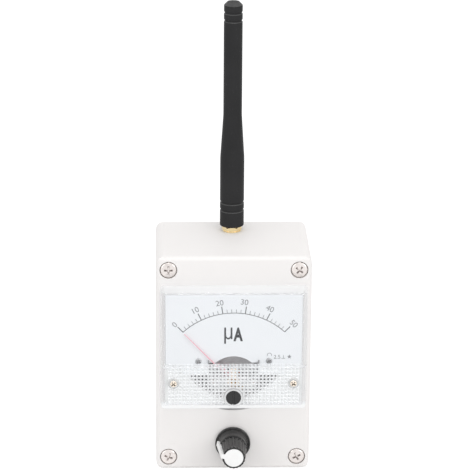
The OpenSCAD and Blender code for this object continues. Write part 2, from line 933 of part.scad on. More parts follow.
// A loop round the core, turned with the needle: half width inside and outside, and its two ends
module coil_loop(inner, outer, y0, y1, t) {
    at_rest()
        difference() {
            block([-outer, y0, -coil_h / 2], [outer, y1, coil_h / 2]);
            block([-inner, y0 + t, -coil_h], [inner, y1 - t, coil_h]);
        }
}

module moving_coil() {
    color("chocolate")
        coil_loop(coil_in + former_t, coil_out, coil_y, coil_y_end, wind_t);
}

module coil_former() {
    color("silver")
        coil_loop(coil_in, coil_in + former_t, former_y - former_t, former_y_end + former_t, former_t);
}

module coil_pivots() {
    color("lightsteelblue") {
        bar(pivot_r, coil_y - pivot_l, coil_y, pivot);
        bar(pivot_r, coil_y_end, coil_y_end + pivot_l, pivot);
    }
}

module needle() {
    tip = scale_r - 0.8;
    color("crimson")
        at_rest()
            difference() {
                union() {
                    bar(hub_r, arm_front, arm_front + arm_t);
                    block([-arm_w / 2, arm_front, -tail_l], [arm_w / 2, arm_front + arm_t, crank_r]);
                    block([-needle_w / 2, blade_front, crank_r - 0.8],
                        [needle_w / 2, arm_front + arm_t, crank_r]);
                    slab(blade_front, blade_back)
                        polygon([[-needle_w / 2, crank_r - 0.8], [needle_w / 2, crank_r - 0.8],
                            [needle_tip_w / 2, tip], [-needle_tip_w / 2, tip]]);
                }
                bar(pivot_r + fit, arm_front - past, arm_front + arm_t + past);
            }
}

module balance_weight() {
    color("goldenrod")
        at_rest()
            bar(weight_r, arm_front - weight_h, arm_front, [0, weight_r - tail_l]);
}

// A flat spiral strip on a collet, with its outer end under the tab that anchors it
module hairspring(y0) {
    steps = 24 * hair_turns;
    function edge(i, side) =
        let (a = 90 + 360 * hair_turns * (i / steps - 1))
        let (r = hair_in_r + (hair_out_r - hair_in_r) * i / steps + side * hair_t / 2)
        r * [cos(a), sin(a)];
    translate([0, 0, pivot_z])
        slab(y0, y0 + hair_w)
            difference() {
                union() {
                    circle(hair_in_r);
                    polygon(concat([for (i = [0:steps]) edge(i, 1)], [for (i = [steps:-1:0]) edge(i, -1)]));
                }
                circle(pivot_r + fit);
            }
}

module front_hairspring() {
    color("orange")
        hairspring(coil_y - hair_off - hair_w);
}

module rear_hairspring() {
    color("orange")
        hairspring(coil_y_end + hair_off);
}

// Zero adjuster

module zero_adjuster() {
    head_front = out(band_out + collar_h);
    head_back = out(band_out - band_wall + adjust_web) - run;
    disc_front = y_band_in + 2 * run;
    disc_back = disc_front + adjust_disc_t;
    color([0.1, 0.1, 0.1])
        difference() {
            union() {
                bar(adjust_r, head_front, head_back, adjuster);
                bar(adjust_neck_r, head_back - join, disc_front + join, adjuster);
                bar(adjust_neck_r + 0.6, disc_front, disc_back, adjuster);
                bar(adjust_pin_r, disc_back - join, lever_back + fit, adjust_pin);
            }
            translate([adjuster.x, head_front, adjuster.y])
                cube([0.9, 1.4, 3 * adjust_r], center = true);
        }
}

module zero_lever() {
    ring_r = jewel_r + 1.2;
    slot = adjust_pin_r + run;
    prong = slot + 0.9;
    reach = 7;
    color("gold")
        difference() {
            union() {
                slab(lever_front, lever_back)
                    difference() {
                        union() {
                            translate(pivot)
                                circle(ring_r);
                            translate([-arm_w, pivot_z])
                                square([2 * arm_w, reach]);
                            translate([-prong, adjust_pin.y - prong])
                                square([2 * prong, adjust_drop + adjust_throw + prong]);
                        }
                        translate([-slot, adjust_pin.y - 2 * prong])
                            square([2 * slot, 2 * prong + slot + 0.6]);
                    }
                block([-arm_w / 2, lever_front, pivot_z + tab_r],
                    [arm_w / 2, coil_y - hair_off, pivot_z + tab_r + tab_t]);
            }
            bar(jewel_r + run, lever_front - past, lever_back + past, pivot);
        }
}

// Terminals and detector board

module terminal_studs() {
    color("goldenrod")
        for (p = term_places) {
            bar(term_r + 1.5, y_can_floor - term_head_t, y_can_floor, p);
            bar(term_r, y_can_floor - join, y_can_end + term_l, p);
        }
}

module terminal_nuts() {
    color("silver")
        for (p = term_places, y = [y_can_end, y_board_end])
            difference() {
                hex_bar(term_nut_af, y, y + term_nut_t, p);
                bar(term_r + fit, y - past, y + term_nut_t + past, p);
            }
}

module detector_board() {
    color("seagreen")
        difference() {
            block([-board_w / 2, y_board, board_low], [board_w / 2, y_board_end, board_low + board_h]);
            for (p = term_places)
                bar(term_r + 2 * fit, y_board - past, y_board_end + past, p);
        }
}

// A part on two wire legs: its body lies along X above the board
module axial_part(r, l, at) {
    wire = 0.4;
    lift = r + 0.3;
    reach = l / 2 + 2;
    translate([at.x, y_board_end, at.y]) {
        translate([-l / 2, lift, 0])
            rotate([0, 90, 0])
                cylinder(r = r, h = l);
        block([-reach, lift - wire / 2, -wire / 2], [reach, lift + wire / 2, wire / 2]);
        for (x = [-reach, reach - wire])
            block([x, 0, -wire / 2], [x + wire, lift + wire / 2, wire / 2]);
    }
}

// A round disc on edge with two legs into the board
module disc_part(r, t, at) {
    wire = 0.4;
    translate([at.x, y_board_end, at.y]) {
        translate([0, r + 0.6, -t / 2])
            cylinder(r = r, h = t);
        for (x = [-r / 2, r / 2])
            block([x - wire / 2, 0, -wire / 2], [x + wire / 2, r, wire / 2]);
    }
}

module detector_diodes() {
    color("orangered")
        for (z = [4, -4])
            axial_part(0.95, 4, [0, can_z + z]);
}

module disc_capacitors() {
    color("peru")
        for (x = [-5, 5])
            disc_part(2.4, 1.5, [x, can_z - 9]);
}

module signal_choke() {
    color("forestgreen")
        axial_part(1.5, 6, [0, can_z + 0.1]);
}

module load_resistor() {
    color("tan")
        axial_part(1.1, 6, [0, can_z + 7.5]);
}

// Control

module control_plate() {
    color("silver")
        difference() {
            union() {
                bar(pot_r, y_inner, y_wafer, control);
                bar(bush_r, bush_front, y_inner + join, control);
            }
            bar(shaft_r + run, bush_front - past, y_wafer + past, control);
        }
}

module control_wafer() {
    half = lug_pitch + lug_w;
    color("sienna")
        difference() {
            union() {
                bar(pot_r - pot_can_t - fit, y_wafer, y_lug, control);
                block([-half, y_wafer, pot_z], [half, y_lug, pot_z + pot_r + 2.5]);
            }
            bar(shaft_r + 2 * fit, y_wafer - past, y_lug + past, control);
        }
}

module control_cover() {
    half = lug_pitch + lug_w + clear;
    color("darkgray")
        difference() {
            bar(pot_r, y_wafer, y_pot_end, control);
            bar(pot_r - pot_can_t, y_wafer - past, y_pot_end - pot_can_t, control);
            block([-half, y_wafer - past, pot_z], [half, y_lug + lug_t + clear, pot_z + pot_r + past]);
        }
}

module control_lugs() {
    color("lightgray")
        for (x = [-lug_pitch, 0, lug_pitch])
            block([x - lug_w / 2, y_lug, pot_z + pot_r - 1.6], [x + lug_w / 2, y_lug + lug_t, lug_top]);
}

module control_washer() {
    color("silver")
        difference() {
            bar(pot_nut_af / 2 + 0.6, out(pot_washer_t), y_front, control);
            bar(bush_r + fit, out(pot_washer_t + past), y_front + past, control);
        }
}

module control_nut() {
    color("silver")
        difference() {
            hex_bar(pot_nut_af, nut_front, out(pot_washer_t), control);
            bar(bush_r + fit, nut_front - past, y_front, control);
        }
}

module control_shaft() {
    color("lightgray")
        bar(shaft_r, shaft_front, y_pot_end - pot_can_t - clear, control);
}

module control_wiper() {
    color("goldenrod")
        difference() {
            union() {
                bar(shaft_r + 1.2, wiper_y, wiper_y + wiper_t, control);
                translate([control.x, 0, control.y])
                    rotate([0, -line_angle, 0])
                        block([0, wiper_y, -1], [pot_r - 2.2, wiper_y + wiper_t, 1]);
            }
            bar(shaft_r + fit, wiper_y - past, wiper_y + wiper_t + past, control);
        }
}

// Knob

// The fluted body's outline at its root, one wave for each flute
module flute_outline() {
    steps = 6 * flutes;
    polygon([for (i = [0:steps - 1])
        let (a = 360 * i / steps)
        (knob_root_r - flute_d * (1 - cos(a * flutes)) / 2) * [cos(a), sin(a)]]);
}

// A radial strip for the pointer line, between two heights, leaning from a foot to a tip radius
module line_strip(inner, half, from, to, foot, tip) {
    translate([control.x, y_knob, control.y])
        rotate([0, -line_angle, 0])
            linear_extrude(2 * half, center = true)
                polygon([[inner, -from], [foot, -from], [tip, -to], [inner, -to]]);
}

module knob() {
    flare = arc([flare_r + flare_bend, skirt_h], flare_bend, 180 + asin(flare_up / flare_bend), 180);
    skirt = concat([[0, 0], [skirt_r, 0], [skirt_r, rim_h - rim_slope]], flare, [[0, skirt_h]]);
    color([0.1, 0.1, 0.1])
        difference() {
            translate([control.x, y_knob, control.y])
                rotate([90, 0, 0]) {
                    rotate_extrude()
                        polygon(skirt);
                    translate([0, 0, skirt_h - join])
                        linear_extrude(knob_h - skirt_h + join, scale = knob_front_r / knob_root_r)
                            flute_outline();
                }
            bar(pot_nut_af / sqrt(3) + clear, recess_end, y_knob + past, control);
            bar(bush_r + clear, bush_recess_end, y_knob, control);
            bar(shaft_r + fit, shaft_front - 2 * fit, y_knob, control);
            bar(cap_r + fit, y_knob_front - past, y_knob_front + cap_t, control);
            line_strip(line_in_r - fit, line_w / 2 + fit, line_from, knob_h + past, skirt_r, skirt_r);
            line_strip(cap_r + line_side, line_w / 2 + line_side, skirt_h, knob_h + past, skirt_r, skirt_r);
        }
}

module knob_cap() {
    color("white")
        union() {
            bar(cap_r, y_knob_front, y_knob_front + cap_t, control);
            line_strip(line_in_r, line_w / 2, line_from, knob_h, line_foot_r, line_tip_r);
        }
}

// Antenna jack

module jack_body() {
    color("gold")
        difference() {
            union() {
                post(thread_r, case_h - wall - join, z_jack_top, jack);
                translate([jack.x, jack.y, z_flange])
                    cylinder(r = jack_af / sqrt(3), h = flange_h, $fn = 6);
                post(thread_r - 0.5, z_barrel, z_flange + join, jack);
            }
            post(jack_bore_r, z_barrel - past, z_jack_top + past, jack);
        }
}

module jack_insulator() {
    color("ivory")
        difference() {
            post(jack_bore_r - fit, z_barrel, z_jack_top - 0.4, jack);
            post(contact_r + fit, z_barrel - past, z_jack_top + past, jack);
        }
}

module jack_contact() {
    top = z_jack_top - 2;
    color("goldenrod")
        difference() {
            post(contact_r, z_barrel - tail_len, top, jack);
            post(pin_r + run, z_jack_top - pin_depth - 0.6, top + past, jack);
        }
}

module jack_washer() {
    color("gold")
        difference() {
            post(jack_af / 2, case_h, z_jack_nut, jack);
            post(thread_r + fit, case_h - past, z_jack_nut + past, jack);
        }
}

module jack_nut() {
    color("gold")
        difference() {
            translate([jack.x, jack.y, z_jack_nut])
                cylinder(r = jack_af / sqrt(3), h = jack_nut_t, $fn = 6);
            post(thread_r + fit, case_h, z_sleeve, jack);
        }
}

// Antenna

// Outline of one ring groove on the sleeve's side, from its lower edge up
function groove(z, r) = [[r, z - groove_w / 2], [r - groove_d, z - groove_w / 4],
    [r - groove_d, z + groove_w / 4], [r, z + groove_w / 2]];

module antenna_sleeve() {
    foot = 0.4;
    crown = 2;
    side = concat([[0, 0], [sleeve_r - foot, 0], [sleeve_r, foot]],
        groove(7.5, sleeve_r), groove(11.1, sleeve_r),
        [[sleeve_r, taper_from], [whip_r, taper_to]],
        groove(sleeve_l - 8.3, whip_r), groove(sleeve_l - 4.8, whip_r),
        arc([whip_r - crown, sleeve_l - crown], crown, 0, 90), [[0, sleeve_l]]);
    color([0.12, 0.12, 0.12])
        difference() {
            translate([jack.x, jack.y, z_sleeve])
                rotate_extrude()
                    polygon(side);
            post(coupling_r + fit, z_sleeve - past, z_coupling_end + fit, jack);
            post(plug_r + 0.2, z_sleeve, z_plug_end + 0.3, jack);
            post(wire_r + 0.2, z_sleeve, z_wire_end + 1, jack);
        }
}

module coupling_nut() {
    color("gold")
        difference() {
            post(coupling_r, z_coupling, z_coupling_end, jack);
            post(thread_r + run, z_coupling - past, z_web, jack);
            post(plug_r + run, z_coupling, z_coupling_end + past, jack);
        }
}

module plug_body() {
    color("gold")
        difference() {
            union() {
                post(plug_r, z_plug, z_plug_end, jack);
                post(thread_r - 0.2, z_plug, z_plug + shoulder_t, jack);
            }
            post(plug_bore_r, z_jack_top - past, z_plug_end + past, jack);
        }
}

module plug_insulator() {
    color("ivory")
        difference() {
            post(plug_bore_r - fit, z_plug, z_plug_end, jack);
            post(pin_r + 0.1 + fit, z_jack_top - past, z_plug_end + past, jack);
        }
}

module radiating_wire() {
    color("goldenrod") {
        post(pin_r, z_jack_top - pin_depth, z_plug + join, jack);
        post(pin_r + 0.1, z_plug, z_plug_end + join, jack);
        post(wire_r, z_plug_end, z_wire_end, jack);
    }
}

// Leads

lead_r = 0.6;
lead_y = y_board_end + lead_r + fit;

module signal_lead() {
    top = z_barrel - tail_len - fit;
    low = board_low + board_h - 1.8;
    color("firebrick")
        tube(smooth([[0, jack.y, top], [0, jack.y, top - 4], [0, jack.y - 2, top - 9],
            [0, lead_y + 1, low + 7], [0, lead_y, low + 3], [0, lead_y, low]]), lead_r);
}

module control_leads() {
    y_lug_mid = y_lug + lug_t / 2;
    under = can_z - can_r - 2 * lead_r;
    route = [[y_lug_mid, lug_top + fit], [y_lug_mid, lug_top + 1], [y_lug_mid + 5, under],
        [y_can_end - 6, under], [y_can_end + 2 * lead_r, under], [lead_y - lead_r, under + 4],
        [lead_y, under + 8], [lead_y, board_low], [lead_y, board_low + 2.5]];
    color("royalblue")
        for (x = [-lug_pitch, 0, lug_pitch])
            tube(smooth([for (p = route) [x, p.x, p.y]]), lead_r);
}

rear_shell();
front_lid();
lid_seal();
lid_screws();
meter_cover();
cover_screws();
meter_flange();
meter_can();
meter_studs();
meter_nuts();
dial_plate();
dial_screws();
dial_bracket();
frame_pillars();
yoke();
core_magnet();
core_supports();
front_bridge();
rear_bridge();
bridge_screws();
bearing_screws();
moving_coil();
coil_former();
coil_pivots();
needle();
balance_weight();
front_hairspring();
rear_hairspring();
zero_adjuster();
zero_lever();
terminal_studs();
terminal_nuts();
detector_board();
detector_diodes();
disc_capacitors();
signal_choke();
load_resistor();
control_plate();
control_wafer();
control_cover();
control_lugs();
control_washer();
control_nut();
control_shaft();
control_wiper();
knob();
knob_cap();
jack_body();
jack_insulator();
jack_contact();
jack_washer();
jack_nut();
antenna_sleeve();
coupling_nut();
plug_body();
plug_insulator();
radiating_wire();
signal_lead();
control_leads();
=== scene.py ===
import math
from functools import partial

import bmesh
import bpy
from mathutils import Matrix, Vector


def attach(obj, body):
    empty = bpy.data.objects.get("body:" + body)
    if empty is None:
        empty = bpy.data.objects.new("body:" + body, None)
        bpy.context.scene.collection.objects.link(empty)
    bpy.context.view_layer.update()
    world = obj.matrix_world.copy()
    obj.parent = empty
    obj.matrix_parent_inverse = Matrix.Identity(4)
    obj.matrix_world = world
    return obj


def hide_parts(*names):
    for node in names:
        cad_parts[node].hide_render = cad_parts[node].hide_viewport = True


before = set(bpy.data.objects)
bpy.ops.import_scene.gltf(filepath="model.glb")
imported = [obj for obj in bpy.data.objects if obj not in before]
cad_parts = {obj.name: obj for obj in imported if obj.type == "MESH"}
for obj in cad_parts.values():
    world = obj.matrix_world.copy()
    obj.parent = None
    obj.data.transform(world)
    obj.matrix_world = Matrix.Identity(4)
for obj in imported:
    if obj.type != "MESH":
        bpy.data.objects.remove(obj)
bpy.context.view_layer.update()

scene = bpy.context.scene
mm = 0.001
print("stage: frame loaded,", len(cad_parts), "nodes")

# helpers for objects and nodes


def addObject(name, data):
    obj = bpy.data.objects.new(name, data)
    scene.collection.objects.link(obj)
    return obj


def addNode(tree, kind, inputs=None, **settings):
    # a node with its settings made, and its inputs linked to a socket or filled with a value
    node = tree.nodes.new(kind)
    for name, value in settings.items():
        setattr(node, name, value)
    for key, value in (inputs or {}).items():
        if isinstance(value, bpy.types.NodeSocket):
            tree.links.new(value, node.inputs[key])
        else:
            node.inputs[key].default_value = value
    return node


def mathNode(tree, kind, *values, clamp=False):
    node = addNode(tree, "ShaderNodeMath", dict(enumerate(values)), operation=kind, use_clamp=clamp)
    return node.outputs[0]


def mixShaders(tree, share, one, two):
    return addNode(tree, "ShaderNodeMixShader", {0: share, 1: one, 2: two}).outputs[0]


def rows(sort, *labels):
    return [(label, sort, None) for label in labels]


def newTree(kind, name, inputs, outputs):
    # node group with sockets given as (label, sort, first value)
    tree = bpy.data.node_groups.new(name, kind)
    for side, sockets in (("INPUT", inputs), ("OUTPUT", outputs)):
        for label, sort, value in sockets:
            socket = tree.interface.new_socket(label, in_out=side, socket_type="NodeSocket" + sort)
            if value is not None:
                socket.default_value = value
    return tree, tree.nodes.new("NodeGroupInput").outputs, tree.nodes.new("NodeGroupOutput")


# camera, floor and light

view = {
    "place": (-32.17, -1020.29, 448.21),  # mm
    "yaw": 0.0326, "pitch": 0.3273, "roll": 0.0080,  # radians
    "focal": 2437.85, "frame": 470,  # pixels
    "sensor": 36.0,
    "clip": (0.05, 20),  # metres
}


def setCamera(s):
    cy, sy = math.cos(s["yaw"]), math.sin(s["yaw"])
    cp, sp = math.cos(s["pitch"]), math.sin(s["pitch"])
    ahead = Vector((sy * cp, cy * cp, -sp))
    right = Vector((cy, -sy, 0))
    up = right.cross(ahead)
    cr, sr = math.cos(s["roll"]), math.sin(s["roll"])
    right, up = cr * right + sr * up, cr * up - sr * right
    data = bpy.data.cameras.new("photoCamera")
    data.sensor_fit = "HORIZONTAL"
    data.sensor_width = s["sensor"]
    data.lens = s["focal"] / s["frame"] * s["sensor"]
    data.clip_start, data.clip_end = s["clip"]
    stand = Matrix((right, up, -ahead)).transposed().to_4x4()
    stand.translation = Vector(s["place"]) * mm
    scene.camera = addObject("photoCamera", data)
    scene.camera.matrix_world = stand


studio = {
    "skyLevel": 0.8, "white": (1, 1, 1, 1),
    "floorSize": 8.0, "floorDrop": 0.0002,
    "floorPlain": 0.8, "floorShade": 0.3, "floorGlow": 0.86,
    # place and aim in metres, size, watts
    "lamps": [
        ("keyLamp", (1.05, -0.95, 0.6), (0, 0, 0.07), 0.8, 3.25),
        ("fillLamp", (-0.9, -0.7, 0.5), (0, 0, 0.07), 0.8, 1.6),
        ("topLamp", (0.05, -0.5, 1.4), (0, 0, 0.1), 0.6, 3.9),
        ("frontLamp", (0.3, -1.5, 0.45), (0, 0, 0.1), 0.6, 0.5),
    ],
    "bounces": 24,  # light runs along the clear cover's walls
    "diffuseBounces": 10,  # and round inside the pale can
}


def backdropRays(tree):
    # 1 on the rays that see the backdrop itself: camera, mirror and glass rays
    path = tree.nodes.new("ShaderNodeLightPath").outputs
    first = mathNode(tree, "MAXIMUM", path["Is Camera Ray"], path["Is Glossy Ray"])
    return mathNode(tree, "MAXIMUM", first, path["Is Transmission Ray"])


def setWorld(s):
    world = bpy.data.worlds.new("studioWorld")
    scene.world = world
    world.use_nodes = True
    tree = world.node_tree
    tree.nodes.clear()
    light, seen = [addNode(tree, "ShaderNodeBackground", {"Color": s["white"], "Strength": level}).outputs[0]
                   for level in (s["skyLevel"], 1.0)]
    addNode(tree, "ShaderNodeOutputWorld", {"Surface": mixShaders(tree, backdropRays(tree), light, seen)})


def setFloor(s):
    mat = bpy.data.materials.new("paleFloor")
    mat.use_nodes = True
    tree = mat.node_tree
    tree.nodes.clear()
    plain, shade = [addNode(tree, "ShaderNodeBsdfDiffuse", {"Color": (grey, grey, grey, 1)}).outputs[0]
                    for grey in (s["floorPlain"], s["floorShade"])]
    glow = addNode(tree, "ShaderNodeEmission", {"Strength": s["floorGlow"]}).outputs[0]
    bright = addNode(tree, "ShaderNodeAddShader", {0: shade, 1: glow}).outputs[0]
    surface = mixShaders(tree, backdropRays(tree), plain, bright)
    addNode(tree, "ShaderNodeOutputMaterial", {"Surface": surface})
    half = s["floorSize"] / 2
    mesh = bpy.data.meshes.new("floor")
    corners = [(-half, -half, 0), (half, -half, 0), (half, half, 0), (-half, half, 0)]
    mesh.from_pydata(corners, [], [(0, 1, 2, 3)])
    mesh.materials.append(mat)
    floor = addObject("floor", mesh)
    floor.location.z = -s["floorDrop"]


def setLamps(s):
    for name, spot, aim, size, watts in s["lamps"]:
        data = bpy.data.lights.new(name, "AREA")
        data.shape = "DISK"
        data.size = size
        data.energy = watts
        lamp = addObject(name, data)
        lamp.location = spot
        lamp.rotation_euler = (Vector(aim) - Vector(spot)).to_track_quat("-Z", "Y").to_euler()


setCamera(view)
setWorld(studio)
setFloor(studio)
setLamps(studio)
scene.view_settings.view_transform = "Standard"
for limit in ("max_bounces", "glossy_bounces", "transmission_bounces", "transparent_max_bounces"):
    setattr(scene.cycles, limit, studio["bounces"])
scene.cycles.diffuse_bounces = studio["diffuseBounces"]
print("stage: camera and studio set")

# shader groups that several finishes share

patternOut = rows("Float", "Height", "Mask")


def noiseNode(tree, vector, scale, detail, rough=0.5):
    return addNode(tree, "ShaderNodeTexNoise", {
        "Vector": vector, "Scale": scale, "Detail": detail, "Roughness": rough}).outputs["Fac"]


def patternMask(tree, slow, slowShare, fine, fineShare):
    # two noises about a middle grey, 0 to 1
    parts = [mathNode(tree, "MULTIPLY", mathNode(tree, "SUBTRACT", noise, 0.5), share)
             for noise, share in ((slow, slowShare), (fine, fineShare))]
    return mathNode(tree, "ADD", mathNode(tree, "ADD", *parts), 0.5, clamp=True)


def makeMouldedGrain():
    # fine spark-eroded grain over slow cloudy flow marks
    tree, own, end = newTree("ShaderNodeTree", "mouldedGrain", [
        ("Vector", "Vector", None), ("Grain Scale", "Float", 2500.0),
        ("Flow Scale", "Float", 40.0)], patternOut)
    grainNoise = noiseNode(tree, own["Vector"], own["Grain Scale"], 3, 0.6)
    flowNoise = noiseNode(tree, own["Vector"], own["Flow Scale"], 2)
    tree.links.new(grainNoise, end.inputs["Height"])
    tree.links.new(patternMask(tree, flowNoise, 1.6, grainNoise, 0.7), end.inputs["Mask"])
    return tree


def makeBrushedLines():
    # drawn-out noise, as turned or brushed metal shows
    tree, own, end = newTree("ShaderNodeTree", "brushedLines", [
        ("Vector", "Vector", None), ("Stretch", "Vector", (1.0, 1.0, 40.0)), ("Line Scale", "Float", 300.0),
        ("Tarnish Scale", "Float", 120.0)], patternOut)
    pulled = addNode(tree, "ShaderNodeVectorMath", {
        0: own["Vector"], 1: own["Stretch"]}, operation="MULTIPLY")
    lines = noiseNode(tree, pulled.outputs[0], own["Line Scale"], 3, 0.6)
    tarnish = noiseNode(tree, own["Vector"], own["Tarnish Scale"], 4, 0.6)
    tree.links.new(lines, end.inputs["Height"])
    tree.links.new(patternMask(tree, tarnish, 1.8, lines, 1.0), end.inputs["Mask"])
    return tree


def makeDustFlecks():
    # small flecks, 0 or 1, in some patches only
    tree, own, end = newTree("ShaderNodeTree", "dustFlecks", [
        ("Vector", "Vector", None), ("Fleck Scale", "Float", 900.0),
        ("Fleck Size", "Float", 0.16)], patternOut[1:])
    cells = addNode(tree, "ShaderNodeTexVoronoi", {"Vector": own["Vector"], "Scale": own["Fleck Scale"]})
    near = mathNode(tree, "LESS_THAN", cells.outputs["Distance"], own["Fleck Size"])
    rare = mathNode(tree, "GREATER_THAN", noiseNode(tree, own["Vector"], 130.0, 2), 0.6)
    tree.links.new(mathNode(tree, "MULTIPLY", near, rare), end.inputs["Mask"])
    return tree


groups = {"grain": makeMouldedGrain(), "brushed": makeBrushedLines(), "flecks": makeDustFlecks()}

# finishes: light and dark colour, roughness range, pattern, bump strength and depth in mm


def grain(scale, flow=40.0):
    return "grain", {"Grain Scale": scale, "Flow Scale": flow}


def brushed(scale, stretch=(1.0, 1.0, 40.0)):
    return "brushed", {"Line Scale": scale, "Stretch": stretch}


def look(light, dark, rough, pattern, bump, metal=0.0, specular=0.5, flecks=None):
    return {"light": light, "dark": dark, "rough": rough, "pattern": pattern, "bump": bump, "metal": metal,
            "specular": specular, "flecks": flecks}


acrossX, printGrain = (12.0, 1.0, 1.0), grain(4000.0, 300.0)
finishes = {
    "caseWhite": look((0.885, 0.864, 0.853), (0.868, 0.846, 0.834), (0.52, 0.62), grain(1800.0, 35.0),
                      (0.05, 0.02),
                      specular=0.4, flecks=((0.62, 0.58, 0.54), 0.10)),
    "sealGrey": look((0.03, 0.03, 0.03), (0.018, 0.018, 0.018), (0.65, 0.8), grain(3000.0), (0.2, 0.05)),
    "nickel": look((0.84, 0.79, 0.765), (0.68, 0.63, 0.605), (0.22, 0.36), brushed(900.0, (1.0, 1.0, 8.0)),
                   (0.06, 0.02), 1.0),
    "steel": look((0.55, 0.55, 0.56), (0.40, 0.40, 0.41), (0.28, 0.42), brushed(700.0), (0.06, 0.02), 1.0),
    "brass": look((0.72, 0.50, 0.25), (0.50, 0.32, 0.14), (0.2, 0.36), brushed(800.0, acrossX),
                  (0.05, 0.02), 1.0),
    "gold": look((1.0, 0.86, 0.55), (0.93, 0.72, 0.36), (0.08, 0.16), brushed(700.0, (1.0, 1.0, 25.0)),
                 (0.04, 0.02), 1.0),
    "paleBrass": look((0.97, 0.88, 0.78), (0.86, 0.74, 0.61), (0.2, 0.34), brushed(800.0, acrossX),
                      (0.05, 0.02), 1.0),
    # painted shade: these darker recess colours stand in for the shade inside the screws' cross recesses
    "recessGrey": look((0.66, 0.61, 0.59), (0.48, 0.44, 0.43), (0.4, 0.55), grain(1500.0), (0.1, 0.03), 0.8),
    "recessBrown": look((0.10, 0.065, 0.04), (0.05, 0.032, 0.02), (0.4, 0.55), grain(1500.0),
                        (0.1, 0.03), 0.5),
    "stopGrey": look((0.40, 0.40, 0.405), (0.32, 0.32, 0.325), (0.45, 0.6), grain(2000.0), (0.1, 0.02)),
    "flangeWhite": look((0.86, 0.86, 0.855), (0.81, 0.81, 0.80), (0.5, 0.62), grain(2200.0), (0.1, 0.03)),
    "canPale": look((0.82, 0.82, 0.82), (0.76, 0.76, 0.76), (0.42, 0.58), grain(2200.0), (0.12, 0.03)),
    "dialPaint": look((0.905, 0.915, 0.93), (0.885, 0.896, 0.914), (0.5, 0.6), grain(4200.0, 60.0),
                      (0.05, 0.01)),
    "aluminium": look((0.74, 0.74, 0.75), (0.60, 0.60, 0.61), (0.3, 0.45), brushed(700.0, (14.0, 1.0, 1.0)),
                      (0.06, 0.02), 1.0),
    "softIron": look((0.63, 0.62, 0.63), (0.53, 0.52, 0.53), (0.4, 0.55), brushed(500.0, (1.0, 18.0, 1.0)),
                     (0.1, 0.03), 0.4),
    "magnetGrey": look((0.62, 0.60, 0.57), (0.50, 0.48, 0.45), (0.45, 0.6), grain(1500.0), (0.2, 0.04), 0.7),
    "copperWire": look((0.68, 0.27, 0.12), (0.42, 0.13, 0.05), (0.25, 0.4), brushed(900.0, (30.0, 1.0, 1.0)),
                       (0.4, 0.05), 1.0),
    "springBronze": look((0.66, 0.40, 0.18), (0.48, 0.26, 0.10), (0.2, 0.34), brushed(900.0),
                         (0.05, 0.02), 1.0),
    "needleRed": look((0.92, 0.52, 0.58), (0.86, 0.44, 0.50), (0.35, 0.48), grain(3500.0, 200.0),
                      (0.05, 0.01)),
    "adjusterBlack": look((0.012, 0.012, 0.013), (0.007, 0.007, 0.008), (0.12, 0.2), grain(2600.0),
                          (0.03, 0.01)),
    "boardGreen": look((0.02, 0.13, 0.05), (0.012, 0.085, 0.032), (0.25, 0.4), grain(900.0, 300.0),
                       (0.1, 0.02)),
    "diodeAmber": look((0.60, 0.12, 0.03), (0.42, 0.07, 0.015), (0.1, 0.2), grain(1500.0), (0.05, 0.02)),
    "ceramicTan": look((0.50, 0.22, 0.06), (0.36, 0.14, 0.035), (0.35, 0.5), grain(1200.0), (0.2, 0.04)),
    "chokeGreen": look((0.02, 0.16, 0.04), (0.012, 0.10, 0.025), (0.2, 0.3), grain(1200.0), (0.1, 0.03)),
    "laminateBrown": look((0.13, 0.055, 0.02), (0.08, 0.033, 0.012),
                          (0.45, 0.6), brushed(400.0, (1.0, 1.0, 20.0)),
                          (0.1, 0.03)),
    "knobBlack": look((0.008, 0.0077, 0.008), (0.004, 0.004, 0.0042), (0.14, 0.2), grain(2400.0, 120.0),
                      (0.06, 0.02), specular=0.55, flecks=((0.12, 0.12, 0.12), 0.18)),
    "capWhite": look((0.93, 0.93, 0.925), (0.90, 0.90, 0.895), (0.36, 0.48), grain(2400.0), (0.05, 0.02)),
    "waxyWhite": look((0.82, 0.80, 0.75), (0.76, 0.74, 0.69), (0.4, 0.5), grain(1500.0), (0.05, 0.02)),
    "rubberBlack": look((0.036, 0.036, 0.037), (0.027, 0.027, 0.028), (0.38, 0.5), grain(1500.0, 60.0),
                        (0.12, 0.03), specular=0.04, flecks=((0.09, 0.09, 0.09), 0.22)),
    # painted highlight: paler rubber on the up-facing groove lips and crown of the antenna
    "rubberWorn": look((0.095, 0.095, 0.095), (0.06, 0.06, 0.061), (0.45, 0.6), grain(1500.0, 400.0),
                       (0.12, 0.03), specular=0.1),
    "leadRed": look((0.42, 0.02, 0.015), (0.30, 0.012, 0.01), (0.35, 0.5), grain(1800.0), (0.1, 0.02)),
    "leadBlue": look((0.02, 0.05, 0.30), (0.012, 0.03, 0.2), (0.35, 0.5), grain(1800.0), (0.1, 0.02)),
    "printGrey": look((0.14, 0.14, 0.145), (0.20, 0.20, 0.205), (0.55, 0.65), printGrain, (0.03, 0.005)),
    "printPale": look((0.27, 0.27, 0.28), (0.35, 0.35, 0.36), (0.55, 0.65), printGrain, (0.03, 0.005)),
    "printDark": look((0.055, 0.055, 0.06), (0.085, 0.085, 0.09), (0.55, 0.65), printGrain, (0.03, 0.005)),
}
materials = {}


def newMaterial(name):
    mat = bpy.data.materials.new(name)
    mat.use_nodes = True
    materials[name] = mat
    tree = mat.node_tree
    return tree, tree.nodes["Principled BSDF"], tree.nodes.new("ShaderNodeTexCoord").outputs["Object"]


def patternNode(tree, kind, where, values):
    return addNode(tree, "ShaderNodeGroup", {"Vector": where, **values}, node_tree=groups[kind]).outputs


def mixColours(tree, share, one, two):
    node = addNode(tree, "ShaderNodeMix", {"Factor": share, "A": one, "B": two}, data_type="RGBA")
    return node.outputs["Result"]


def roughen(tree, bsdf, mask, rough):
    spread = addNode(tree, "ShaderNodeMapRange", {"Value": mask, "To Min": rough[0], "To Max": rough[1]})
    tree.links.new(spread.outputs["Result"], bsdf.inputs["Roughness"])


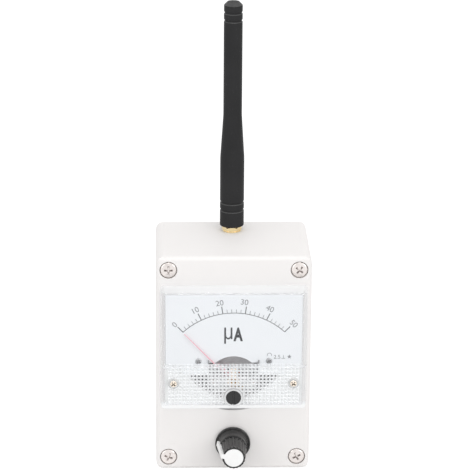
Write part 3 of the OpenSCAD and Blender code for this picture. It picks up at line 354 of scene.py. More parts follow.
def finish(name):
    if name in materials:
        return materials[name]
    s = finishes[name]
    tree, bsdf, where = newMaterial(name)
    pattern = patternNode(tree, s["pattern"][0], where, s["pattern"][1])
    colour = mixColours(tree, pattern["Mask"], s["light"] + (1,), s["dark"] + (1,))
    if s["flecks"]:
        tint, share = s["flecks"]
        fleck = patternNode(tree, "flecks", where, {})["Mask"]
        colour = mixColours(tree, mathNode(tree, "MULTIPLY", fleck, share), colour, tint + (1,))
    tree.links.new(colour, bsdf.inputs["Base Color"])
    roughen(tree, bsdf, pattern["Mask"], s["rough"])
    strength, depth = s["bump"]
    bump = addNode(tree, "ShaderNodeBump", {
        "Strength": strength, "Distance": depth * mm, "Height": pattern["Height"]})
    tree.links.new(bump.outputs["Normal"], bsdf.inputs["Normal"])
    bsdf.inputs["Metallic"].default_value = s["metal"]
    bsdf.inputs["Specular IOR Level"].default_value = s["specular"]
    return materials[name]


clearFinishes = {
    "clearAcrylic": {"tint": (0.985, 0.99, 0.995, 1), "ior": 1.2, "rough": (0.0, 0.02), "through": 1.0},
    "clearPattern": {"tint": (0.955, 0.96, 0.965, 1), "ior": 1.3, "rough": (0.02, 0.1), "through": 0.12},
    "clearEdge": {"tint": (0.88, 0.885, 0.89, 1), "ior": 1.2, "rough": (0.1, 0.2), "through": 0.4},
    # painted shade: the grey tint draws the dark outline on the adjuster collar's side
    "clearRim": {"tint": (0.42, 0.42, 0.43, 1), "ior": 1.2, "rough": (0.1, 0.2), "through": 0.3},
}
clearLight = {"grain": 300.0, "shadow": (0.965, 0.97, 0.975, 1)}


def makeClear(name, s):
    # clear acrylic; lamps reach the dial straight through it
    tree, bsdf, where = newMaterial(name)
    for label, key in (("Base Color", "tint"), ("Transmission Weight", "through"), ("IOR", "ior")):
        bsdf.inputs[label].default_value = s[key]
    pattern = patternNode(tree, "grain", where, {"Grain Scale": clearLight["grain"]})
    roughen(tree, bsdf, pattern["Mask"], s["rough"])
    straight = addNode(tree, "ShaderNodeBsdfTransparent", {"Color": clearLight["shadow"]}).outputs[0]
    path = tree.nodes.new("ShaderNodeLightPath").outputs
    lit = mathNode(tree, "MAXIMUM", path["Is Shadow Ray"], path["Is Diffuse Ray"])
    mixed = mixShaders(tree, lit, bsdf.outputs[0], straight)
    tree.links.new(mixed, tree.nodes["Material Output"].inputs["Surface"])


for clearName, clearValues in clearFinishes.items():
    makeClear(clearName, clearValues)
print("stage: finishes ready")

# mesh helpers; sizes are in mm unless said


def objectFrom(name, bm, sharp=35):
    mesh = bpy.data.meshes.new(name)
    bm.to_mesh(mesh)
    bm.free()
    if "custom_normal" in mesh.attributes:
        mesh.attributes.remove(mesh.attributes["custom_normal"])
    obj = addObject(name, mesh)
    smoothen(obj, sharp)
    return obj


def smoothen(obj, sharp=35):
    obj.data.shade_smooth()
    obj.data.set_sharp_from_angle(angle=math.radians(sharp))


def openMesh(obj):
    bm = bmesh.new()
    bm.from_mesh(obj.data)
    return bm


def closeMesh(obj, bm):
    bm.to_mesh(obj.data)
    bm.free()


def fillHoles(bm):
    bmesh.ops.holes_fill(bm, edges=[e for e in bm.edges if e.is_boundary], sides=0)


def evaluated(obj):
    dep = bpy.context.evaluated_depsgraph_get()
    return bpy.data.meshes.new_from_object(obj.evaluated_get(dep), depsgraph=dep)


def applied(obj):
    # modifiers made into a plain mesh
    mesh, old = evaluated(obj), obj.data
    obj.modifiers.clear()
    obj.data = mesh
    mesh.name = obj.name
    bpy.data.meshes.remove(old)
    return obj


def carve(obj, tool, mode="DIFFERENCE"):
    mod = obj.modifiers.new("carve", "BOOLEAN")
    mod.operation = mode
    mod.solver = "EXACT"
    mod.material_mode = "TRANSFER"
    mod.object = tool
    applied(obj)
    bpy.data.objects.remove(tool)
    return obj


def bevelled(obj, width, segments=2, angle=30):
    obj.data.shade_smooth()
    mod = obj.modifiers.new("bevel", "BEVEL")
    mod.width = width * mm
    mod.segments = segments
    mod.limit_method = "ANGLE"
    mod.angle_limit = math.radians(angle)
    mod.miter_outer = "MITER_ARC"
    return evened(applied(obj))


def evened(obj, sharp=35):
    # flat faces keep their own direction beside a rounded edge
    smoothen(obj, sharp)
    mod = obj.modifiers.new("even", "WEIGHTED_NORMAL")
    mod.keep_sharp = True
    mod.weight = 90
    return applied(obj)


def rounded(points, steps=5):
    # outline of (a, b, radius) corners with its corners rounded
    out = []
    n = len(points)
    for i, (x, y, r) in enumerate(points):
        p = Vector((x, y))
        if r <= 0 or i in (0, n - 1):
            out.append(p)
            continue
        a = Vector(points[i - 1][:2]) - p
        b = Vector(points[i + 1][:2]) - p
        turn = a.angle(b)
        reach = min(r / math.tan(turn / 2), 0.49 * a.length, 0.49 * b.length)
        radius = reach * math.tan(turn / 2)
        middle = p + (a.normalized() + b.normalized()).normalized() * (radius / math.sin(turn / 2))
        start = p + a.normalized() * reach - middle
        sweep = math.pi - turn
        sign = 1 if a.x * b.y - a.y * b.x < 0 else -1
        for k in range(steps + 1):
            out.append(middle + Matrix.Rotation(sign * sweep * k / steps, 2) @ start)
    return out


def lathe(name, points, centre, axis="Y", segments=64, steps=5, sharp=35):
    # (radius, height, fillet) profile turned about an axis; height runs to -Y or to +Z
    bm = bmesh.new()
    rings = []
    for p in rounded(points, steps):
        ring = []
        for k in range(1 if p.x < 1e-6 else segments):
            t = 2 * math.pi * k / segments
            a, b = p.x * math.cos(t), p.x * math.sin(t)
            spot = Vector((a, -p.y, b)) if axis == "Y" else Vector((a, b, p.y))
            ring.append(bm.verts.new((spot + Vector(centre)) * mm))
        rings.append(ring)
    closed = len(rings[0]) > 1
    for one, two in zip(rings, rings[1:] + rings[:1] if closed else rings[1:]):
        for k in range(segments):
            a, b = one[k % len(one)], one[(k + 1) % len(one)]
            c, d = two[(k + 1) % len(two)], two[k % len(two)]
            corners = list(dict.fromkeys((a, b, c, d)))
            if len(corners) > 2:
                bm.faces.new(corners)
    bmesh.ops.recalc_face_normals(bm, faces=bm.faces)
    return objectFrom(name, bm, sharp)


def rectangle(x0, x1, z0, z1, r, steps=5):
    # closed rounded rectangle seen from the front
    out = []
    corners = ((x1 - r, z0 + r, -90), (x1 - r, z1 - r, 0), (x0 + r, z1 - r, 90), (x0 + r, z0 + r, 180))
    for cx, cz, a in corners:
        for k in range(steps + 1):
            t = math.radians(a + 90 * k / steps)
            out.append((cx + r * math.cos(t), cz + r * math.sin(t)))
    return out


def skin(name, loops):
    # loops of points in metres, joined one to the next and capped at both ends
    bm = bmesh.new()
    loops = [[bm.verts.new(p) for p in loop] for loop in loops]
    n = len(loops[0])
    for one, two in zip(loops, loops[1:]):
        for k in range(n):
            bm.faces.new((one[k], one[(k + 1) % n], two[(k + 1) % n], two[k]))
    bm.faces.new(loops[0])
    bm.faces.new(loops[-1])
    bmesh.ops.recalc_face_normals(bm, faces=bm.faces)
    return objectFrom(name, bm)


def loft(name, rings):
    # rings of (outline, y)
    return skin(name, [[(x * mm, y * mm, z * mm) for x, z in outline] for outline, y in rings])


def draftedBox(name, x, z0, z1, back, front, draft, corner, edge, lowDraft=None, steps=4):
    # box with sides that lean in to the front and a rounded front edge
    low = draft if lowDraft is None else lowDraft
    rings = [(rectangle(-x, x, z0, z1, corner), back)]
    for k in range(steps + 1):
        t = math.pi / 2 * k / steps
        inward, y = edge * (1 - math.cos(t)), front + edge * (1 - math.sin(t))
        share = (back - y) / (back - front)
        side = x - draft * share - inward
        outline = rectangle(-side, side, z0 + low * share + inward, z1 - draft * share - inward, corner)
        rings.append((outline, y))
    return loft(name, rings)


def disc(name, r, y0, y1, at):
    return lathe(name, [(0, -y1, 0), (r, -y1, 0), (r, -y0, 0), (0, -y0, 0)], (at[0], 0, at[1]), segments=48)


def cadCopy(node, name):
    bm = openMesh(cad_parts[node])
    bmesh.ops.remove_doubles(bm, verts=bm.verts, dist=1e-6)
    bmesh.ops.dissolve_limit(bm, angle_limit=math.radians(0.5), verts=bm.verts, edges=bm.edges)
    return objectFrom(name, bm)


def dress(obj, finishName, extra=None, chosen=()):
    # one finish all over, and another on the chosen faces
    chosen = set(chosen)
    obj.data.materials.clear()
    for name in (finishName, extra):
        if name:
            obj.data.materials.append(finish(name))
    for polygon in obj.data.polygons:
        polygon.material_index = 1 if polygon.index in chosen else 0
    return obj


def facesOf(obj, name):
    slots = [k for k, m in enumerate(obj.data.materials) if m and m.name == name]
    return [f.index for f in obj.data.polygons if f.material_index in slots]


def place(obj, finishName, body, slot, *nodes):
    if finishName:
        dress(obj, finishName)
    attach(obj, body)
    if nodes:
        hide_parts(*nodes)


# geometry node helpers


def growTree(name, *inputs):
    shape = rows("Geometry", "Geometry")
    return newTree("GeometryNodeTree", name, sum(inputs, shape), shape)


def endTree(tree, own, end, geometry, *more):
    # real meshes with their finish, and another finish on chosen faces: (label, choice)
    last = addNode(tree, "GeometryNodeRealizeInstances", {"Geometry": geometry}).outputs[0]
    for label, chosen in (("Material", True), *more):
        last = addNode(tree, "GeometryNodeSetMaterial", {
            "Geometry": last, "Material": own[label], "Selection": chosen}).outputs[0]
    tree.links.new(last, end.inputs[0])
    return tree


def namedValue(tree, name, kind):
    node = addNode(tree, "GeometryNodeInputNamedAttribute", {"Name": name}, data_type=kind)
    return node.outputs["Attribute"]


def joinXYZ(tree, **parts):
    return addNode(tree, "ShaderNodeCombineXYZ", parts).outputs[0]


def turnAboutY(tree, angle):
    return addNode(tree, "FunctionNodeEulerToRotation", {0: joinXYZ(tree, Y=angle)}).outputs[0]


def grow(obj, tree, values):
    mod = obj.modifiers.new("grow", "NODES")
    mod.node_group = tree
    for item in tree.interface.items_tree:
        if item.item_type == "SOCKET" and item.in_out == "INPUT" and item.name in values:
            mod[item.identifier] = values[item.name]
    return applied(obj)


def makeScatterTree():
    # one screw on each point, turned about its own axis
    tree, own, end = growTree(
        "screwScatter", rows("Object", "Screw"), rows("Material", "Material", "Recess Material"))
    screw = addNode(tree, "GeometryNodeObjectInfo", {"Object": own["Screw"]}).outputs["Geometry"]
    put = addNode(tree, "GeometryNodeInstanceOnPoints", {
        "Points": own["Geometry"], "Instance": screw,
        "Rotation": turnAboutY(tree, namedValue(tree, "turn", "FLOAT"))})
    # faces marked as recess get the painted recess shade
    recess = namedValue(tree, "recess", "BOOLEAN")
    return endTree(tree, own, end, put.outputs[0], ("Recess Material", recess))


screwScatter = makeScatterTree()

# a driver's cross point: steps of depth and length, the blade's least width; facing tells its sides, and all
# but the faces that look to the front get the painted recess shade
crossPoint = {"past": 0.2, "steps": [(0.0, 1.0), (0.35, 0.86), (1.0, 0.55)], "blade": 0.55, "facing": -0.95}


def crossTool(s, long, wide, deep, front):
    rings = []
    for y, k in [(front - s["past"], 1.0)] + [(front + deep * share, k) for share, k in s["steps"]]:
        a, b = long / 2 * k, wide / 2 * (s["blade"] + (1 - s["blade"]) * k)
        rings.append(([(b, -b), (a, -b), (a, b), (b, b), (b, a), (-b, a), (-b, b), (-a, b), (-a, -b),
                       (-b, -b), (-b, -a), (b, -a)], y))
    return loft("crossTool", rings)


def makeScrews(name, s, finishName, recessShadeName, slot, node):
    # turns one screw, cuts the driver's recess, marks its sides for the painted recess shade and puts the
    # screw on each place
    screw = lathe("screwShape", s["profile"], (0, 0, 0), segments=s["sides"], steps=s["steps"])
    tool = crossTool(crossPoint, *s["cross"])
    screw.data.materials.append(finish("nickel"))
    tool.data.materials.append(finish(recessShadeName))
    carve(screw, tool)
    # the recess walls, not the floor that faces the front, carry the painted shade
    inner = {k for k in facesOf(screw, recessShadeName) if screw.data.polygons[k].normal.y > crossPoint["facing"]}
    mark = screw.data.attributes.new("recess", "BOOLEAN", "FACE")
    mark.data.foreach_set("value", [f.index in inner for f in screw.data.polygons])
    mesh = bpy.data.meshes.new(name)
    mesh.from_pydata([Vector(p) * mm for p in s["places"]], [], [])
    turn = mesh.attributes.new("turn", "FLOAT", "POINT")
    turn.data.foreach_set("value", [math.radians(t) for t in s["angles"]])
    obj = grow(addObject(name, mesh), screwScatter, {
        "Screw": screw, "Material": finish(finishName), "Recess Material": finish(recessShadeName)})
    bpy.data.objects.remove(screw)
    smoothen(obj)
    place(obj, None, "case", slot, node)


print("stage: tools ready")

# the case

shells = {"bevel": 0.22, "segments": 3}
for node, name in (("rear_shell", "rearShell"), ("front_lid", "frontLid")):
    piece = bevelled(cadCopy(node, name), shells["bevel"], shells["segments"])
    place(piece, "caseWhite", "case", "white_case", node)

# screws: profile of radius, height, fillet; cross of length, width, depth and the height it starts at
lidScrew = {
    "head": [(0, 0.3136, 0), (1.566, 0.2752, 0.8), (2.9928, 0.08, 0.6), (3.48, -0.25, 0.25),
             (3.48, -1.8, 0.2), (3.28, -2.0, 0.1), (1.72, -2.0, 0.2)],
    "crest": (1.72, 0.05), "root": (1.4104, 0.08), "pitch": 1.3, "threadFrom": 8.0, "turns": 14,
    "point": [(1.376, -26.6, 0.1), (0, -27.95, 0)],
    "cross": (3.9, 0.85, 1.25, -0.32), "sides": 48, "steps": 4,
    "places": [(-28.45, -25, 6), (28.45, -25, 6), (-28.45, -25, 94), (28.45, -25, 94)],
    "angles": [20, 65, 0, 38],
}


def threadRidges(s):
    # ridges stand in for the thread's turns
    (crest, crestRound), (root, rootRound) = s["crest"], s["root"]
    ridges = []
    for k in range(s["turns"]):
        y = s["threadFrom"] + s["pitch"] * k
        ridges += [(root, -y, rootRound), (crest, -y - s["pitch"] / 2, crestRound)]
    return ridges


lidScrew["profile"] = lidScrew["head"] + threadRidges(lidScrew) + lidScrew["point"]
makeScrews("lidScrews", lidScrew, "nickel", "recessGrey", "nickel", "lid_screws")
print("stage: case done")

# the meter

cover = {
    "x": 32.0, "low": 31.0, "high": 87.0, "step": 51.5, "stepWall": 0.6, "stepDraft": 0.15, "wall": 1.6,
    "back": -25.04, "band": -30.4, "window": -33.5, "bandInner": -29.2, "windowInner": -31.9,
    "outside": {"draft": 0.4, "corner": 1.3, "edge": 0.3},
    "hollow": {"draft": 0.2, "corner": 0.4, "edge": 0.15},
    "pitch": 1.6, "pyramid": 0.33, "tip": 0.46, "fieldX": 28.8, "fieldLow": 32.9, "fieldHigh": 52.1,
    "screws": [(-26.3, 43.0), (26.3, 43.0)], "screwHead": 1.56, "screwShank": 1.3, "screwDepth": 1.0,
    "boss": 2.5, "bossSink": 0.3, "seat": -28.0,
    "adjuster": (0.0, 36.7), "adjusterR": 3.36, "web": -29.8, "neck": 1.66,
    "collar": 4.25, "collarFront": -31.0, "collarEdge": 0.15,
    "collarRoot": [(0.5, -0.4, 0), (0.5, 0.02, 0.3), (0, 0.1, 0.15)],  # out from the collar, up, fillet
    "haze": 0.35,  # hazy strip over the bottom wall
    "past": 1.0,  # how far a tool goes past the face it cuts
    "merge": 0.0005, "sharp": 25,
    # faces with the edge's finish: how near to a wall, the top, the step or the collar, and how they face
    "nearWall": 0.6, "nearTop": 2.0, "nearStep": 0.05, "nearCollar": 0.6, "proud": 0.02,
    "wallFacing": 0.5, "rimFacing": 0.9,
}


def makePyramidTree():
    # sheet of square pyramids with flat tips that point to -Y
    tree, own, end = growTree(
        "pyramidSheet", rows("Float", "Width", "Height", "Depth", "Tip"), rows("Int", "Columns", "Rows"),
        rows("Material", "Material", "Tip Material"))
    grid = addNode(tree, "GeometryNodeMeshGrid", {
        "Size X": own["Width"], "Size Y": own["Height"],
        "Vertices X": mathNode(tree, "ADD", own["Columns"], 1),
        "Vertices Y": mathNode(tree, "ADD", own["Rows"], 1)})
    pull = addNode(tree, "GeometryNodeExtrudeMesh", {
        "Mesh": grid.outputs["Mesh"], "Offset Scale": own["Depth"], "Individual": True}, mode="FACES").outputs
    point = addNode(tree, "GeometryNodeScaleElements", {
        "Geometry": pull["Mesh"], "Selection": pull["Top"], "Scale": own["Tip"]}, domain="FACE")
    turn = addNode(tree, "GeometryNodeTransform", {
        "Geometry": point.outputs[0], "Rotation": (math.pi / 2, 0, 0)})
    return endTree(tree, own, end, turn.outputs[0], ("Tip Material", pull["Top"]))


def pyramidTool(s):
    wide, high = 2 * s["fieldX"], s["fieldHigh"] - s["fieldLow"]
    tool = grow(addObject("pyramidTool", bpy.data.meshes.new("pyramidTool")), makePyramidTree(), {
        "Width": wide * mm, "Height": high * mm, "Columns": round(wide / s["pitch"]),
        "Rows": round(high / s["pitch"]), "Depth": s["pyramid"] * mm, "Tip": s["tip"],
        "Material": materials["clearPattern"], "Tip Material": materials["clearAcrylic"]})
    bm = openMesh(tool)
    for v in bm.verts:
        v.co += Vector((0, s["bandInner"], (s["fieldLow"] + s["fieldHigh"]) / 2)) * mm
    made = bmesh.ops.extrude_edge_only(bm, edges=[e for e in bm.edges if e.is_boundary])["geom"]
    for v in made:
        if isinstance(v, bmesh.types.BMVert):
            v.co.y += s["past"] * mm
    fillHoles(bm)
    bmesh.ops.recalc_face_normals(bm, faces=bm.faces)
    closeMesh(tool, bm)
    return tool


def makeCover(s):
    x, low, high, step, wall = s["x"], s["low"], s["high"], s["step"], s["wall"]
    back, band, past = s["back"], s["band"], s["past"]
    body = draftedBox("meterCover", x, low, high, back, band, **s["outside"])
    window = draftedBox("window", x, step, high, back, s["window"], lowDraft=s["stepDraft"], **s["outside"])
    carve(body, window, "UNION")
    for floor, front in ((low + wall, s["bandInner"]), (step + s["stepWall"], s["windowInner"])):
        carve(body, draftedBox("hollow", x - wall, floor, high - wall, back + past, front, **s["hollow"]))
    body.data.materials.append(materials["clearAcrylic"])
    carve(body, pyramidTool(s))
    for at in s["screws"]:
        carve(body, disc("boss", s["boss"], band + s["bossSink"], s["seat"], at), "UNION")
    cx, cz = s["adjuster"]
    root = [(s["collar"] + out, -band + up, r) for out, up, r in s["collarRoot"]]
    rise = -s["collarFront"]
    collar = [(0, root[0][1], 0), *root, (s["collar"], rise, s["collarEdge"]), (0, rise, 0)]
    carve(body, lathe("collar", collar, (cx, 0, cz)), "UNION")
    for at in s["screws"]:
        carve(body, disc("shankHole", s["screwShank"], band - past, back, at))
        carve(body, disc("headHole", s["screwHead"], band - past, band + s["screwDepth"], at))
    carve(body, disc("adjusterSeat", s["adjusterR"], s["collarFront"] - past, s["web"], s["adjuster"]))
    carve(body, disc("adjusterHole", s["neck"], band - past, back, s["adjuster"]))
    foot = (low + wall + s["haze"]) * mm
    bm = openMesh(body)
    every = bm.verts[:] + bm.edges[:] + bm.faces[:]
    bmesh.ops.bisect_plane(bm, geom=every, plane_co=(0, 0, foot), plane_no=(0, 0, 1))
    bmesh.ops.remove_doubles(bm, verts=bm.verts[:], dist=s["merge"] * mm)
    fillHoles(bm)
    closeMesh(body, bm)
    smoothen(body, s["sharp"])
    return dressCover(body, s, foot)


def dressCover(body, s, foot):
    # clear all over, hazy on the pyramids and the foot, paler on the walls and the collar, with a painted
    # grey shade on the collar's side
    faces = body.data.polygons
    cx, cz = s["adjuster"]
    ring = [f.index for f in faces if f.center.y < (s["band"] - s["proud"]) * mm
            and math.hypot(f.center.x / mm - cx, f.center.z / mm - cz) < s["collar"] + s["nearCollar"]]
    rim = [k for k in ring if abs(faces[k].normal.y) < s["rimFacing"]]
    hazy = facesOf(body, "clearPattern") + [f.index for f in faces if f.center.z < foot]
    side, top = (s["x"] - s["wall"] - s["nearWall"]) * mm, (s["high"] - s["nearTop"]) * mm
    low, high = (s["step"] - s["nearStep"]) * mm, (s["step"] + s["stepWall"] + s["nearStep"]) * mm
    walls = [f.index for f in faces if abs(f.normal.y) < s["wallFacing"]
             and (abs(f.center.x) > side or f.center.z > top or low < f.center.z < high)]
    dress(body, "clearAcrylic", "clearPattern", hazy)
    # the collar's side faces take the painted grey shade
    for slot, name, chosen in ((2, "clearEdge", walls + ring), (3, "clearRim", rim)):
        body.data.materials.append(finish(name))
        for k in set(chosen) - set(hazy):
            faces[k].material_index = slot
    return body


place(makeCover(cover), None, "case", "clear_cover", "meter_cover")

coverScrew = {
    "profile": [(0, 0.0, 0), (1.2, -0.02, 0.3), (1.5, -0.3, 0.2), (1.5, -0.95, 0.05), (1.4, -1.0, 0),
                (1.24, -1.0, 0.05), (1.24, -4.8, 0.1), (0, -5.1, 0)],
    "cross": (2.2, 0.56, 0.8, 0), "sides": 40, "steps": 3,
    "places": [(-26.3, -30.4, 43.0), (26.3, -30.4, 43.0)], "angles": [47, 38],
}
makeScrews("coverScrews", coverScrew, "paleBrass", "recessBrown", "brass", "cover_screws")

# pieces that keep the solid's shape: node, piece, bevel, finish, body, slot
softened = [
    ("meter_flange", "meterFlange", 0.15, "flangeWhite", "case", "white_flange"),
    ("meter_can", "meterCan", 0.2, "canPale", "case", "pale_can"),
    ("front_bridge", "frontBridge", 0.15, "aluminium", "case", "light_metal"),
    ("yoke", "yokeRing", 0.2, "softIron", "case", "soft_iron"),
    ("zero_lever", "zeroLever", 0.08, "paleBrass", "zero_lever", "brass"),
    ("zero_adjuster", "zeroAdjuster", 0.12, "adjusterBlack", "zero_adjuster", "black_adjuster"),
    ("needle", "needleBlade", 0.05, "needleRed", "needle", "red_needle"),
    ("balance_weight", "balanceWeight", 0.1, "brass", "needle", "brass"),
    ("bearing_screws", "bearingScrews", 0.1, "brass", "case", "brass"),
    ("bridge_screws", "bridgeScrews", 0.08, "nickel", "case", "nickel"),
    ("moving_coil", "movingCoil", 0.1, "copperWire", "needle", "copper"),
    ("core_supports", "coreSupports", 0.1, "brass", "case", "brass"),
    ("coupling_nut", "couplingNut", 0.15, "gold", "antenna", "gold"),
    ("jack_washer", "jackWasher", 0.08, "gold", "case", "gold"),
    ("control_nut", "controlNut", 0.2, "nickel", "case", "nickel"),
]
for node, name, width, finishName, body, slotName in softened:
    place(bevelled(cadCopy(node, name), width), finishName, body, slotName, node)

plate = {
    "bevel": 0.06, "front": -27.3, "proud": 0.03,
    # the dial goes on behind the lower band, on both sides of the notch
    "feet": [(10.8, 22.6), (-22.6, -10.8)], "footHigh": (46.6, 51.3), "footDeep": (-26.83, -27.27),
    "footCorner": 0.3,
}


def makePlate(s):
    obj = bevelled(cadCopy("dial_plate", "dialPlate"), s["bevel"])
    for inner, outer in s["feet"]:
        outline = rectangle(inner, outer, *s["footHigh"], s["footCorner"])
        carve(obj, loft("dialFoot", [(outline, y) for y in s["footDeep"]]), "UNION")
    evened(obj)
    standing = [f.index for f in obj.data.polygons if f.center.y < (s["front"] - s["proud"]) * mm]
    return dress(obj, "dialPaint", "stopGrey", standing)


place(makePlate(plate), None, "case", "dial_white", "dial_plate")

dialScrew = {
    "profile": [(0, 0.55, 0), (0.84, 0.5225, 0.5), (1.4, 0.2475, 0.3), (1.4, 0.0, 0.1), (0.85, 0.0, 0),
                (0.85, -3.7, 0.1), (0, -4.0, 0)],
    "cross": (1.9, 0.42, 0.45, -0.55), "sides": 40, "steps": 4,
    "places": [(-15.5, -27.3, 52.8), (15.5, -27.3, 52.8)], "angles": [25, -40],
}
makeScrews("dialScrews", dialScrew, "steel", "recessBrown", "nickel", "dial_screws")
print("stage: meter done")

# print on the dial

dial = {
    "front": -27.3, "ink": 0.03, "lift": 0.005, "pivot": 43.0, "radius": 32.2, "halfSweep": 43.5,
    "arcWide": 0.29, "arcSteps": 96,
    "ticks": 25, "major": 3.4, "minor": 1.7, "majorWide": 0.4, "minorWide": 0.19,
    "numbers": {"0": (-25.86, 69.89), "10": (-16.72, 76.6), "20": (-6.3, 79.81), "30": (4.56, 80.23),
                "40": (15.6, 77.18), "50": (26.13, 70.16)},
    "numberHigh": 2.5, "textSteps": 6,
    # left, low, right, high, boldness
    "unit": {"µ": (-4.22, 61.0, -0.68, 68.5, -0.004), "A": (-0.2, 62.1, 3.94, 68.5, 0.042)},
    # plain signs: moving coil, class, upright use and a star
    "coil": (15.65, 55.5, 0.95, 0.22), "coilHalf": 115, "coilSteps": 24,
    "class": ("2.5", 19.0, 54.65, 1.8),
    "upright": (21.8, 54.65, 0.85, 0.22),
    "star": (24.4, 54.7, 1.1, 0.48),
}


def makeTickTree():
    # marks round the scale, every fifth one long
    tree, own, end = growTree(
        "dialTicks", rows("Int", "Divisions"), rows("Material", "Material"),
        rows("Float", "Half Sweep", "Radius", "Major", "Minor", "Major Wide", "Minor Wide", "Ink", "Front",
             "Pivot"))
    calc = partial(mathNode, tree)
    line = addNode(tree, "GeometryNodeMeshLine", {"Count": calc("ADD", own["Divisions"], 1)})
    index = tree.nodes.new("GeometryNodeInputIndex").outputs[0]
    share = calc("SUBTRACT", calc("MULTIPLY", calc("DIVIDE", index, own["Divisions"]), 2.0), 1.0)
    angle = calc("MULTIPLY", share, own["Half Sweep"])
    isMajor = calc("LESS_THAN", calc("MODULO", index, 5.0), 0.5)

    def choose(major, minor):
        return calc("ADD", calc("MULTIPLY", isMajor, own[major]),
                    calc("MULTIPLY", calc("SUBTRACT", 1.0, isMajor), own[minor]))

    long, wide = choose("Major", "Minor"), choose("Major Wide", "Minor Wide")
    reach = calc("ADD", own["Radius"], calc("MULTIPLY", long, 0.5))
    spot = joinXYZ(tree, X=calc("MULTIPLY", calc("SINE", angle), reach), Y=own["Front"],
                   Z=calc("ADD", calc("MULTIPLY", calc("COSINE", angle), reach), own["Pivot"]))
    move = addNode(tree, "GeometryNodeSetPosition", {"Geometry": line.outputs[0], "Position": spot})
    put = addNode(tree, "GeometryNodeInstanceOnPoints", {
        "Points": move.outputs[0],
        "Instance": addNode(tree, "GeometryNodeMeshCube", {"Size": (1, 1, 1)}).outputs["Mesh"],
        "Rotation": turnAboutY(tree, angle),
        "Scale": joinXYZ(tree, X=wide, Y=own["Ink"], Z=long)})
    return endTree(tree, own, end, put.outputs[0])


def makeTicks(s):
    sizes = {"Radius": "radius", "Major": "major", "Minor": "minor", "Major Wide": "majorWide",
             "Minor Wide": "minorWide", "Ink": "ink", "Pivot": "pivot"}
    return grow(addObject("dialTicks", bpy.data.meshes.new("dialTicks")), makeTickTree(), {
        **{label: s[key] * mm for label, key in sizes.items()},
        "Divisions": s["ticks"], "Half Sweep": math.radians(s["halfSweep"]),
        "Front": (s["front"] - s["ink"] / 2 - s["lift"]) * mm, "Material": finish("printGrey")})


def hoop(x, z, r, wide, half, steps):
    # strip along a circle, to both sides of upright
    angles = [math.radians(half * (2 * k / steps - 1)) for k in range(steps + 1)]
    outer, inner = r + wide / 2, r - wide / 2
    outline = [(x + outer * math.sin(a), z + outer * math.cos(a)) for a in angles]
    return outline + [(x + inner * math.sin(a), z + inner * math.cos(a)) for a in reversed(angles)]


def printed(name, outline, s):
    back = s["front"] - s["lift"]
    return loft(name, [(outline, back), (outline, back - s["ink"])])


def makeArc(s):
    outline = hoop(0, s["pivot"], s["radius"], s["arcWide"], s["halfSweep"], s["arcSteps"])
    return printed("dialArc", outline, s)


def standText(s, words, high, at, wide=None, angle=0, bold=0.0):
    # words fitted to a height and width, standing on the dial
    curve = bpy.data.curves.new("words", "FONT")
    curve.body = words
    curve.offset = bold
    curve.extrude = s["ink"] / 2
    curve.resolution_u = s["textSteps"]
    obj = addObject("words", curve)
    mesh = evaluated(obj)
    bpy.data.objects.remove(obj)
    low, top = [Vector([pick(v.co[k] for v in mesh.vertices) for k in (0, 1)]) for pick in (min, max)]
    middle, span = (low + top) / 2, top - low
    tall = high / span.y
    broad = tall if wide is None else wide / span.x
    turn = Matrix.Rotation(angle, 3, "Y")
    spot = Vector((at[0], s["front"] - s["ink"] / 2 - s["lift"], at[1]))
    for v in mesh.vertices:
        x, z = (v.co.x - middle.x) * broad, (v.co.y - middle.y) * tall
        v.co = (turn @ Vector((x, -v.co.z, z)) + spot) * mm
    return mesh


def joined(name, meshes):
    bm = bmesh.new()
    for mesh in meshes:
        bm.from_mesh(mesh)
        bpy.data.meshes.remove(mesh)
    bmesh.ops.remove_doubles(bm, verts=bm.verts, dist=1e-8)
    bmesh.ops.recalc_face_normals(bm, faces=bm.faces)
    return objectFrom(name, bm)


def makeNumbers(s):
    return joined("dialNumbers", [
        standText(s, words, s["numberHigh"], (x, z), angle=math.atan2(x, z - s["pivot"]))
        for words, (x, z) in s["numbers"].items()])


def makeUnit(s):
    return joined("dialUnit", [
        standText(s, words, z1 - z0, ((x0 + x1) / 2, (z0 + z1) / 2), x1 - x0, bold=bold)
        for words, (x0, z0, x1, z1, bold) in s["unit"].items()])


def makeSigns(s):
    x, z, r, w = s["upright"]
    tee = [(x - r, z - r), (x + r, z - r), (x + r, z - r + w), (x + w / 2, z - r + w), (x + w / 2, z + r),
           (x - w / 2, z + r), (x - w / 2, z - r + w), (x - r, z - r + w)]
    x, z, outer, inner = s["star"]
    star = []
    for k in range(10):
        t, r = math.radians(90 + 36 * k), inner if k % 2 else outer
        star.append((x + r * math.cos(t), z + r * math.sin(t)))
    words, x, z, high = s["class"]
    meshes = [standText(s, words, high, (x, z))]
    for outline in (hoop(*s["coil"], -s["coilHalf"], s["coilSteps"]), tee, star):
        piece = printed("sign", outline, s)
        meshes.append(piece.data)
        bpy.data.objects.remove(piece)
    return joined("dialSigns", meshes)


for piece, finishName in ((makeTicks(dial), "printGrey"), (makeArc(dial), "printGrey"),
                          (makeNumbers(dial), "printPale"), (makeUnit(dial), "printDark"),
                          (makeSigns(dial), "printPale")):
    place(piece, finishName, "case", "dial_white")
print("stage: dial printed")

# the knob

